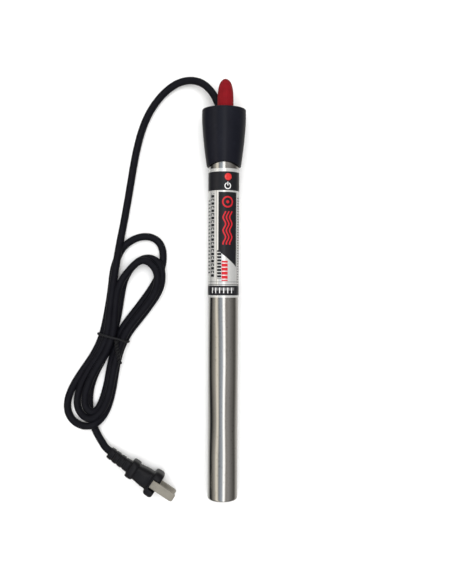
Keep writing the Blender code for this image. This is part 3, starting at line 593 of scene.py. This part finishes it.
tube_profile = rounded_profile([
    (POLE, 0.0, 0.0), (TUBE_RADIUS, 0.0, END_FILLET), (TUBE_RADIUS, 60.0, 0.0), (TUBE_RADIUS, 130.0, 0.0),
    (TUBE_RADIUS, 200.0, 0.0), (TUBE_RADIUS, TUBE_LENGTH, 0.1), (TUBE_RADIUS - TUBE_WALL, TUBE_LENGTH, 0.1),
    (TUBE_RADIUS - TUBE_WALL, TUBE_WALL, 0.3), (POLE, TUBE_WALL, 0.0)], steps=9)
put("steel_tube", turned("steel_tube", tube_profile, columns=160), steel_finish(), "heater",
    "outer_tube", slot="tube_steel")

# %% [markdown]
# ## The printed sleeve
#
# The sleeve is a silver film with black and red print, shrunk on the tube. The print could be
# an image, but every block of it is a simple shape, so it is drawn by the material: the sleeve
# carries its own map, across in one direction and along in the other, and each mark is a range
# of both. The marks are plain blocks, ticks, waves and a power symbol.

# %% Sleeve
LABEL_BOTTOM = 148.8
LABEL_TOP = 242.0
LABEL_OUTSIDE = 11.35
LABEL_INSIDE = 11.06


def sleeve_mesh(columns=192, rows=60):
    """A thin tube: out along the outside and back along the inside, with rounded edges.

    The map's u is the turn round the tube, 0.5 on the side away from the floor, and its v is
    the station, 0 at the lower edge and 1 at the upper.
    """
    edge = (LABEL_OUTSIDE - LABEL_INSIDE) / 2.0
    middle = LABEL_INSIDE + edge
    bend = np.linspace(0.0, np.pi, 5)[1:-1]
    outside = np.linspace(LABEL_BOTTOM + edge, LABEL_TOP - edge, rows)
    radius = np.concatenate([np.full(rows, LABEL_OUTSIDE), middle + edge * np.cos(bend),
                             np.full(rows, LABEL_INSIDE), middle - edge * np.cos(bend)])
    station = np.concatenate([outside, LABEL_TOP - edge + edge * np.sin(bend), outside[::-1],
                              LABEL_BOTTOM + edge - edge * np.sin(bend)])
    angle = np.linspace(-np.pi, np.pi, columns + 1)
    across = radius[:, None] * np.sin(angle)
    grid = heater_point(across, station[:, None] + 0.0 * angle, radius[:, None] * np.cos(angle))
    u = np.broadcast_to((angle + np.pi) / (2.0 * np.pi), across.shape)
    v = np.broadcast_to(((station - LABEL_BOTTOM) / (LABEL_TOP - LABEL_BOTTOM))[:, None], across.shape)
    return skin("printed_sleeve", grid[:, :-1], looped=True, uv=np.stack([u, v], axis=-1))


def print_finish():
    """Silver film with black and red print, laid out in millimetres across and along."""
    film = Finish("printed_film")
    uv_map = film.add("ShaderNodeUVMap", {"uv_map": "print"})
    parts = film.add("ShaderNodeSeparateXYZ", {}, {"Vector": uv_map.outputs[0]})
    across = (Value(film, parts.outputs[0]) - 0.5) * (2.0 * math.pi * LABEL_OUTSIDE)
    along = Value(film, parts.outputs[1]) * (LABEL_TOP - LABEL_BOTTOM) + LABEL_BOTTOM

    def block(left, right, low, high):
        return across.within(left, right) * along.within(low, high)

    def bars(left, right, low, high, pitch, share, shift=0.0):
        wave = ((along + shift) / pitch).math("FRACT")
        return block(left, right, low, high) * wave.below(share, 0.06)

    diagonal = (along + 0.82 * across).above(179.6, 0.25)
    panel = block(-3.8, 10.6, 165.0, 224.9) * diagonal
    top_band = along.within(226.1, 239.6)
    low_band = along.within(150.4, 157.4)
    hatch = bars(-4.7, -1.5, 162.2, 183.0, 2.3, 0.72)
    rules = [along.within(158.0, 158.4), along.within(160.0, 160.3),
             block(-5.4, -5.1, 150.0, 226.0), block(11.4, 11.7, 150.0, 226.0)]
    holes = bars(-9.4, -8.1, 163.0, 224.0, 5.2, 0.32, 0.5)
    side_marks = bars(-10.3, -7.2, 163.0, 224.0, 2.6, 0.72) * (1.0 - holes)
    small_marks = [bars(12.2, 15.4, 152.0, 222.0, 1.9, 0.45), bars(-19.0, -11.4, 166.0, 220.0, 2.6, 0.4),
                   bars(17.0, 27.0, 160.0, 216.0, 2.2, 0.4)]
    black = top_band
    for mark in [low_band, panel, hatch, side_marks, *rules, *small_marks]:
        black = black.either(mark)
    dial_x = across - 3.0
    dial_y = along - 217.8
    dial = (dial_x * dial_x + dial_y * dial_y).math("SQRT")
    ring = abs(dial - 3.6).below(0.55, 0.12).either(dial.below(1.1, 0.12))
    sway = 0.9 * (along * (2.0 * math.pi / 9.5)).math("SINE")
    left, middle, right = (abs(across - sway - place).below(0.55, 0.12) for place in (0.6, 3.0, 5.4))
    waves = left.either(middle).either(right) * along.within(187.0, 211.0)
    red_block = bars(-1.3, 3.2, 160.8, 175.4, 2.9, 0.78)
    red = ring.either(waves).either(red_block)
    dx = across - 3.0
    dy = along - 229.3
    reach = (dx * dx + dy * dy).math("SQRT")
    ring_mark = abs(reach - 2.1).below(0.32, 0.1) * (1.0 - abs(dx).below(0.9, 0.1) * dy.above(0.0))
    stroke = abs(dx).below(0.30, 0.1) * dy.within(0.2, 2.9)
    ticks = bars(-9.0, 9.0, 152.0, 156.0, 9.0, 1.0) * (across / 3.0).math("FRACT").below(0.22, 0.06)
    long_ticks = block(-9.0, 9.0, 154.0, 156.0) * (across / 0.75).math("FRACT").below(0.3, 0.1)
    white = ring_mark.either(stroke).either(ticks).either(0.6 * long_ticks)
    cloud = film.noise(90.0, 4.0)
    grain = film.noise(1500.0, 3.0)
    silver = film.mix(cloud, (0.72, 0.72, 0.71), (0.86, 0.86, 0.85))
    colour = film.mix(black, silver, (0.012, 0.012, 0.015))
    colour = film.mix(red, colour, (0.50, 0.014, 0.022))
    colour = film.mix(white, colour, (0.80, 0.80, 0.80))
    ink = black.either(red).either(white)
    film.set(Base_Color=colour, Metallic=0.55 - 0.55 * ink, Roughness=0.16 + 0.08 * cloud + 0.10 * ink)
    film.shader.inputs["Specular IOR Level"].default_value = 0.25
    return film.bump(grain + 3.0 * ink, 0.06, 0.00004)


put("printed_sleeve", sleeve_mesh(), print_finish(), "heater", "label_sleeve", slot="label_film")

# %% [markdown]
# ## The pilot lens
#
# A small red lens sits in a hole of the sleeve, in front of the lamp. It is a low dome, turned
# round a line that stands straight out of the tube.

# %% Lens
LENS_STATION = 235.8
LENS_RADIUS = 2.6
LENS_TURN = math.radians(16.0)


def dome_mesh(name, columns=48):
    """A dome: row i is a circle of radius r[i] that lies h[i] from the tube's axis."""
    profile = rounded_profile([(POLE, 11.2, 0.0), (LENS_RADIUS, 11.2, 0.1), (LENS_RADIUS, 11.65, 0.25),
                               (1.5, 11.95, 0.8), (POLE / 2.0, 12.0, 0.0)])
    angle = np.linspace(0.0, 2.0 * np.pi, columns, endpoint=False)
    radius, height = profile[:, 0][:, None], profile[:, 1][:, None] + 0.0 * angle
    side = radius * np.cos(angle)
    across = side * math.cos(LENS_TURN) + height * math.sin(LENS_TURN)
    away = height * math.cos(LENS_TURN) - side * math.sin(LENS_TURN)
    return skin(name, heater_point(across, LENS_STATION + radius * np.sin(angle), away))


def lens_finish():
    lens = Finish("red_lens")
    swirl = lens.noise(900.0, 3.0)
    # The faint red emission is a painted glow: no lamp behind the lens is lit.
    lens.set(Base_Color=lens.mix(swirl, (0.42, 0.010, 0.012), (0.66, 0.03, 0.03)),
             Roughness=0.12 + 0.08 * swirl, Coat_Weight=0.6, Emission_Color=(0.6, 0.03, 0.02),
             Emission_Strength=0.10)
    return lens.bump(swirl, 0.05, 0.00005)


put("pilot_light", dome_mesh("pilot_light"), lens_finish(), "heater", "pilot_lens", slot="lens")

# %% [markdown]
# ## The head cap
#
# The cap is moulded rubber that narrows a little towards the tube. Its mouth is arched: it
# stands back over the top of the tube and comes down at the sides. A turned body with a
# boolean would do, but here the arch is part of the formula: every row of the wall starts at
# the mouth's own station for that angle, and the rows are spread between mouth and top.

# %% Cap
CAP_RADIUS = 16.1
CAP_BOTTOM = 243.9
CAP_TOP = 286.0
CAP_TAPER_START = 279.7
CAP_BORE = 11.75
CAP_CAVITY_TOP = 268.0
CAP_TAPER_SPAN = 30.9
CAP_TAPER_DEPTH = 2.9
MOULD_LINE_STATION = 283.6
MOULD_LINE_DEPTH = 0.12
CAP_FILLET = 1.2
LIP_FILLET = 1.1
ARCH = 2.9
HALF_CHORD = CAP_BORE + 0.9
ARCH_RADIUS = (HALF_CHORD ** 2 + ARCH ** 2) / (2.0 * ARCH)


def cap_mesh(columns=192, wall_rows=140):
    """The wall's radius is the top radius less 2.9 times (distance below the taper / 30.9)^1.5.

    A shallow mould line, a bell curve 0.12 mm deep, runs round it just under the top edge.
    The mouth's station is a circular arch over the middle and the bottom station beside it.
    """
    angle = np.linspace(0.0, 2.0 * np.pi, columns, endpoint=False)

    def wall(station):
        taper = CAP_TAPER_DEPTH * (np.maximum(0.0, CAP_TAPER_START - station) / CAP_TAPER_SPAN) ** 1.5
        return CAP_RADIUS - taper - MOULD_LINE_DEPTH * np.exp(-((station - MOULD_LINE_STATION) / 0.4) ** 2)

    across = CAP_BORE * np.sin(angle)
    rise = np.sqrt(np.maximum(ARCH_RADIUS ** 2 - (1.12 * across) ** 2, 0.0)) - ARCH_RADIUS + ARCH
    mouth = CAP_BOTTOM + 0.5 * (rise + np.sqrt(rise ** 2 + 0.25))
    rows = []

    def row(radius, station):
        radius = radius + 0.0 * angle
        rows.append(heater_point(radius * np.sin(angle), station + 0.0 * angle, radius * np.cos(angle)))

    row(POLE, CAP_CAVITY_TOP)
    row(CAP_BORE - 0.3, CAP_CAVITY_TOP)
    row(CAP_BORE, CAP_CAVITY_TOP - 0.3)
    for share in (0.25, 0.5, 0.75):
        row(CAP_BORE, CAP_CAVITY_TOP + share * (mouth + 0.6 - CAP_CAVITY_TOP))
    lip_wall = wall(mouth + LIP_FILLET)
    for t in np.linspace(0.0, 1.0, 5):
        row(CAP_BORE + 0.6 * t * t, mouth + 0.6 * (1.0 - t) ** 2)
    for t in np.linspace(0.0, 1.0, 9):
        row(lip_wall - LIP_FILLET * (1.0 - t) ** 2, mouth + LIP_FILLET * t * t)
    for t in np.linspace(0.0, 1.0, wall_rows)[1:]:
        station = mouth + LIP_FILLET + t * (CAP_TOP - CAP_FILLET - mouth - LIP_FILLET)
        row(wall(station), station)
    for t in np.linspace(0.0, 1.0, 9)[1:]:
        row(CAP_RADIUS - CAP_FILLET * t * t, CAP_TOP - CAP_FILLET * (1.0 - t) ** 2)
    row(8.0, CAP_TOP)
    row(POLE, CAP_TOP)
    return skin("rubber_cap", np.array(rows))


def rubber_finish(name, dark, light, roughness=0.36, bump=0.18):
    """Moulded rubber: fine pores, a cloudy bloom and dusty scuffs."""
    rubber = Finish(name)
    bloom = rubber.noise(70.0, 5.0)
    scuff = rubber.noise(260.0, 4.0).above(0.64, 0.10)
    pores = rubber.noise(1600.0, 3.0)
    rubber.set(Base_Color=rubber.mix(0.35 * scuff + 0.65 * bloom, dark, light),
               Roughness=roughness + 0.14 * bloom, Coat_Weight=0.18, Coat_Roughness=0.24)
    rubber.shader.inputs["Specular IOR Level"].default_value = 0.09
    return rubber.bump(pores, bump, 0.0001)


put("rubber_cap", cap_mesh(), rubber_finish("cap_rubber", (0.0055, 0.006, 0.010), (0.011, 0.0115, 0.018)),
    "heater", "head_cap", slot="cap")

# %% [markdown]
# ## The temperature knob
#
# The knob is a dull red moulding, a rounded cone with shallow grips. Its profile is a power
# curve, and the grips are a small ripple of the radius that fades out towards the tip. It
# rides on the knob's body, so it turns with the spindle.

# %% Knob
KNOB_X = 1.0
KNOB_N = 4.2
KNOB_RADIUS = 5.9
KNOB_HEIGHT = 21.1
KNOB_BASE = 286.3


def knob_mesh(columns=144, rows=56):
    """At a distance d from the tip the radius is 5.9 * sqrt(1 - (1 - d / h)^4), less the grips."""
    angle = np.linspace(0.0, 2.0 * np.pi, columns, endpoint=False)
    depth = KNOB_HEIGHT * (0.5 - 0.5 * np.cos(np.linspace(0.04, 1.0, rows) * np.pi))
    radius = KNOB_RADIUS * np.sqrt(1.0 - (1.0 - depth / KNOB_HEIGHT) ** 4)
    station = KNOB_BASE + KNOB_HEIGHT - depth
    fade = np.clip((depth - 3.0) / 5.0, 0.0, 1.0) * np.clip((KNOB_HEIGHT - depth) / 1.2, 0.0, 1.0)
    grips = 0.16 * fade[:, None] * (0.5 + 0.5 * np.cos(12.0 * angle)) ** 3
    foot = np.array([[KNOB_RADIUS - 0.5, KNOB_BASE], [POLE, KNOB_BASE]])
    radius = radius[:, None] - grips
    radius[-1] -= 0.25
    radius = np.vstack([radius, foot[:, :1] + 0.0 * angle])
    station = np.concatenate([station, foot[:, 1]])[:, None] + 0.0 * angle
    across, away = KNOB_X + radius * np.sin(angle), KNOB_N + radius * np.cos(angle)
    return skin("red_knob", heater_point(across, station, away))


def knob_finish():
    """Dull red plastic, slightly mottled, with a fine moulded texture."""
    red = Finish("knob_red")
    mottle = red.noise(240.0, 5.0)
    grain = red.noise(1300.0, 3.0)
    red.set(Base_Color=red.mix(mottle, (0.14, 0.0045, 0.008), (0.25, 0.008, 0.013)),
            Roughness=0.50 + 0.14 * mottle)
    red.shader.inputs["Specular IOR Level"].default_value = 0.10
    return red.bump(grain + mottle, 0.30, 0.00015)


put("red_knob", knob_mesh(), knob_finish(), "knob", "control_knob", slot="knob")

# %% [markdown]
# ## The plug
#
# The plug is one rubber moulding: a slotted strain relief, an eared collar, a body to hold and
# a flange with rounded ears. It is a loft: the section is a rounded rectangle whose half width
# and half height change along the plug, with short steep steps where one part meets the next.

# %% Plug
PLUG_START = (-83.5, -121.0, 9.0)
PLUG_TURN = math.radians(-33.5)
BLADE_LEVEL = 6.35
NOTCH_BACK = 37.5
NOTCH_HALF = 4.1
NOTCH_LEVEL = 5.2
RELIEF_LENGTH = 18.4
RELIEF_DROOP = 2.2


def plug_point(along, side, height):
    """World place, in metres, of a point given along, beside and above the plug's own axis."""
    along, side, height = np.broadcast_arrays(along, side, height)
    x = PLUG_START[0] + along * math.cos(PLUG_TURN) - side * math.sin(PLUG_TURN)
    y = PLUG_START[1] + along * math.sin(PLUG_TURN) + side * math.cos(PLUG_TURN)
    return np.stack([x, y, PLUG_START[2] + height], axis=-1) * MM


def lofted(name, sections, columns=96, level=None, crease=40.0):
    """Rounded-rectangle sections: (along, half width, half height, squareness) in each row.

    A point's side is the half width times cos^(2/q) and its height the half height times
    sin^(2/q), with their signs kept, where q is the squareness. A level function may then
    change the height from what is along, beside and above.
    """
    table = np.array(sections, dtype=float)
    angle = np.linspace(0.0, 2.0 * np.pi, columns, endpoint=False)
    power = 2.0 / table[:, 3][:, None]
    cosine, sine = np.cos(angle), np.sin(angle)
    side = table[:, 1][:, None] * np.sign(cosine) * np.abs(cosine) ** power
    height = table[:, 2][:, None] * np.sign(sine) * np.abs(sine) ** power
    along = table[:, 0][:, None] + 0.0 * angle
    if level is not None:
        height = level(along, side, height)
    return skin(name, plug_point(along, side, height), crease=crease)


def plug_level(along, side, height):
    """The relief sinks towards the cord by 2.2 mm, as the square of the way back.

    Over each blade the flange is notched: near the middle its height stops under the blade.
    """
    back = np.clip(1.0 - along / RELIEF_LENGTH, 0.0, 1.0)
    notch = (along > NOTCH_BACK) & (np.abs(side) < NOTCH_HALF)
    return np.where(notch, np.clip(height, -NOTCH_LEVEL, NOTCH_LEVEL), height) - RELIEF_DROOP * back * back


def plug_sections():
    rows = [(-1.0, 3.5, 3.4, 3.0), (-0.75, 4.0, 3.8, 3.0), (-0.3, 4.2, 4.0, 3.2)]
    for slot_at in (3.4, 8.0, 12.6):
        width = 4.25 + 0.15 * slot_at / 17.0
        rows += [(slot_at - 0.95, width, width, 3.4), (slot_at - 0.75, width - 0.1, width - 0.1, 3.4),
                 (slot_at - 0.6, width - 0.3, width - 0.8, 3.0),
                 (slot_at + 0.6, width - 0.3, width - 0.8, 3.0),
                 (slot_at + 0.75, width - 0.1, width - 0.1, 3.4), (slot_at + 0.95, width, width, 3.4)]
    rows += [(16.0, 4.4, 4.3, 3.6), (17.2, 4.5, 4.4, 3.6), (17.5, 5.2, 5.2, 3.8), (17.7, 6.6, 6.6, 4.0),
             (18.2, 6.9, 7.2, 4.0), (19.2, 7.1, 7.5, 4.0), (21.8, 7.1, 7.5, 4.0), (22.9, 6.9, 7.2, 4.0),
             (23.5, 6.5, 6.5, 4.0), (23.8, 5.8, 6.6, 3.8), (26.0, 6.1, 7.0, 3.6), (29.0, 6.6, 7.1, 3.6),
             (32.0, 6.9, 7.1, 3.6), (34.8, 7.0, 7.1, 3.6), (35.5, 7.4, 7.4, 3.6), (35.7, 8.8, 8.0, 4.0),
             (36.1, 9.2, 8.7, 4.4), (37.0, 9.7, 8.95, 4.8), (37.45, 9.8, 8.98, 4.8), (37.6, 9.8, 8.98, 4.8),
             (38.6, 9.9, 9.0, 4.8), (40.8, 9.9, 9.0, 4.8),
             (42.0, 9.5, 8.8, 4.8), (42.6, 9.1, 8.3, 4.6), (42.8, 9.0, 7.8, 4.4), (42.8, 4.0, 3.5, 4.0)]
    return rows


plug_piece = put("moulded_plug", lofted("moulded_plug", plug_sections(), 192, plug_level),
                 rubber_finish("plug_rubber", (0.005, 0.005, 0.006), (0.011, 0.0105, 0.013), 0.34),
                 "heater", "plug_body", slot="plug")

# %% [markdown]
# ## The blades
#
# Each blade is a flat strip of plated metal with a blunt, chamfered tip. It is the same loft
# as the plug, with a very square section. Brushed lines run along it.

# %% Blades
def blade_finish():
    metal = Finish("plated_blade")
    brushed = metal.noise(1400.0, 3.0, (0.15, 0.15, 1.0))
    cloud = metal.noise(180.0, 4.0)
    metal.set(Base_Color=metal.mix(cloud, (0.27, 0.25, 0.215), (0.44, 0.41, 0.35)), Metallic=0.8,
              Roughness=0.38 + 0.14 * brushed)
    return metal.bump(brushed, 0.10, 0.0001)


def blade_mesh(name, level):
    sections = [(36.2, 3.17, 0.75, 9.0), (42.0, 3.17, 0.75, 9.0), (48.0, 3.17, 0.75, 9.0),
                (54.0, 3.17, 0.75, 9.0), (55.3, 3.15, 0.72, 9.0),
                (56.3, 2.9, 0.60, 8.0), (56.8, 2.5, 0.46, 7.0), (57.0, 2.2, 0.34, 6.0)]
    return lofted(name, sections, 64, lambda along, side, height: height + level, crease=35.0)


plating = blade_finish()
upper_prong, lower_prong = (
    put(side + "_prong", blade_mesh(side + "_prong", level), plating, "heater", side + "_blade", slot="blade")
    for side, level in (("upper", BLADE_LEVEL), ("lower", -BLADE_LEVEL)))

# %% [markdown]
# ## The wire tie
#
# A short wire in a plastic skin goes once round the hank, and its two ends are twisted together
# on top. Both are tubes swept along a path: at each point of the path the section's circle is
# set square to the path's direction.

# %% Tie
TIE_CENTRE = (-81.7, -35.2)
TIE_TURN = math.radians(-15.0)
TIE_HALF = 12.5
TIE_LOW = 0.25
TIE_HIGH = 12.2
TIE_RADIUS = 0.9
TWIST_RADIUS = 0.75
TWIST_OFFSET = 0.85
TWIST_TURNS = 3.6


def swept(path, radius, looped=False, sides=14):
    """Circles of the given radius set square to a path, with no twist from one to the next.

    Each circle is spanned by two directions: the tie's own side direction made square to the
    path, and the cross product of the path's direction with it.
    """
    if looped:
        forward = np.roll(path, -1, axis=0) - np.roll(path, 1, axis=0)
    else:
        forward = np.gradient(path, axis=0)
    forward /= np.linalg.norm(forward, axis=1)[:, None]
    side = np.array([math.sin(TIE_TURN), -math.cos(TIE_TURN), 0.0])
    first = side - (forward @ side)[:, None] * forward
    first /= np.linalg.norm(first, axis=1)[:, None]
    second = np.cross(forward, first)
    angle = np.linspace(0.0, 2.0 * np.pi, sides, endpoint=False)[:, None]
    ring = first[:, None, :] * np.cos(angle) + second[:, None, :] * np.sin(angle)
    return path[:, None, :] + radius * ring


def tie_meshes():
    """The loop is a rounded rectangle; the twist is two helices round a short curved line."""
    t = np.linspace(0.0, 2.0 * np.pi, 96, endpoint=False)
    half_height = (TIE_HIGH - TIE_LOW) / 2.0 - TIE_RADIUS
    side = (TIE_HALF - TIE_RADIUS) * np.sign(np.cos(t)) * np.abs(np.cos(t)) ** 0.55
    level = TIE_LOW + TIE_RADIUS + half_height + half_height * np.sign(np.sin(t)) * np.abs(np.sin(t)) ** 0.55
    loop = np.stack([TIE_CENTRE[0] + side * math.cos(TIE_TURN),
                     TIE_CENTRE[1] + side * math.sin(TIE_TURN), level], axis=1)
    s = np.linspace(0.0, 1.0, 90)
    spine = np.stack([-78.6 + 1.0 * s + 1.6 * s * s, -37.6 - 16.4 * s, 12.6 - 1.2 * s * s], axis=1)
    meshes = [("tie_loop", skin("tie_loop", swept(loop, TIE_RADIUS, True) * MM, looped=True))]
    for name, phase in (("tie_twist_1", 0.0), ("tie_twist_2", math.pi)):
        spin = 2.0 * np.pi * TWIST_TURNS * s + phase
        strand = spine + TWIST_OFFSET * np.stack([np.cos(spin), 0.0 * s, np.sin(spin)], axis=1)
        meshes.append((name, skin(name, swept(strand, TWIST_RADIUS) * MM)))
    return meshes


tie_skin = rubber_finish("tie_skin", (0.008, 0.008, 0.009), (0.02, 0.02, 0.022), 0.30)
for tie_name, tie_mesh in tie_meshes():
    replaced = ("wire_tie",) if tie_name == "tie_loop" else ()
    put(tie_name, tie_mesh, tie_skin, "heater", *replaced, slot="tie")

# %% [markdown]
# ## The hidden works
#
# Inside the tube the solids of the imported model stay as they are, and each takes a finish for
# its material slot: two tones, how they are mixed, how rough and how metallic.

# %% Finishes of the hidden solids
SLOT_FINISHES = {
    "cap": ((0.006, 0.006, 0.008), (0.014, 0.014, 0.018), 0.0, 0.42, 300.0),
    "bung": ((0.03, 0.03, 0.03), (0.06, 0.06, 0.06), 0.0, 0.62, 400.0),
    "seal": ((0.38, 0.09, 0.05), (0.52, 0.14, 0.07), 0.0, 0.50, 500.0),
    "cord": ((0.006, 0.006, 0.008), (0.016, 0.016, 0.020), 0.0, 0.44, 220.0),
    "brass": ((0.62, 0.46, 0.18), (0.78, 0.60, 0.28), 1.0, 0.26, 900.0),
    "spring_steel": ((0.42, 0.42, 0.42), (0.56, 0.56, 0.57), 1.0, 0.30, 800.0),
    "bracket_steel": ((0.52, 0.51, 0.49), (0.66, 0.65, 0.63), 1.0, 0.28, 500.0),
    "phenolic": ((0.11, 0.045, 0.02), (0.20, 0.09, 0.04), 0.0, 0.46, 350.0),
    "contact": ((0.78, 0.78, 0.76), (0.90, 0.90, 0.88), 1.0, 0.20, 1200.0),
    "magnet": ((0.08, 0.08, 0.09), (0.16, 0.16, 0.17), 0.5, 0.42, 900.0),
    "capacitor": ((0.03, 0.13, 0.36), (0.07, 0.22, 0.50), 0.0, 0.28, 260.0),
    "fuse": ((0.52, 0.35, 0.17), (0.68, 0.49, 0.27), 0.0, 0.45, 420.0),
    "lamp_glass": ((0.85, 0.52, 0.32), (0.95, 0.68, 0.48), 0.0, 0.08, 200.0),
    "wire_brown": ((0.15, 0.05, 0.015), (0.25, 0.09, 0.03), 0.0, 0.48, 500.0),
    "wire_blue": ((0.02, 0.08, 0.32), (0.04, 0.13, 0.48), 0.0, 0.48, 500.0),
    "ceramic": ((0.78, 0.75, 0.67), (0.90, 0.87, 0.80), 0.0, 0.62, 600.0),
    "mica": ((0.50, 0.41, 0.25), (0.70, 0.60, 0.40), 0.1, 0.32, 160.0),
    "resistance_wire": ((0.28, 0.25, 0.23), (0.42, 0.38, 0.35), 1.0, 0.44, 1500.0),
}


def slot_finish(slot):
    dark, light, metallic, roughness, scale = SLOT_FINISHES[slot]
    finish = Finish(slot + "_finish")
    cloud = finish.noise(scale, 4.0)
    finish.set(Base_Color=finish.mix(cloud, dark, light), Metallic=metallic,
               Roughness=roughness + 0.12 * cloud)
    return finish.bump(finish.noise(4.0 * scale, 2.0), 0.15, 0.0001)


finishes = {}
for subpart in frame["record"]["subparts"]:
    slot = subpart["material_slot"]
    solid = bpy.data.objects.get(subpart["node"])
    if slot not in SLOT_FINISHES or solid is None or solid.type != "MESH":
        continue
    if slot not in finishes:
        finishes[slot] = slot_finish(slot)
    solid.data.materials.clear()
    solid.data.materials.append(finishes[slot].material)
print(len(finishes), "finishes for the hidden solids")
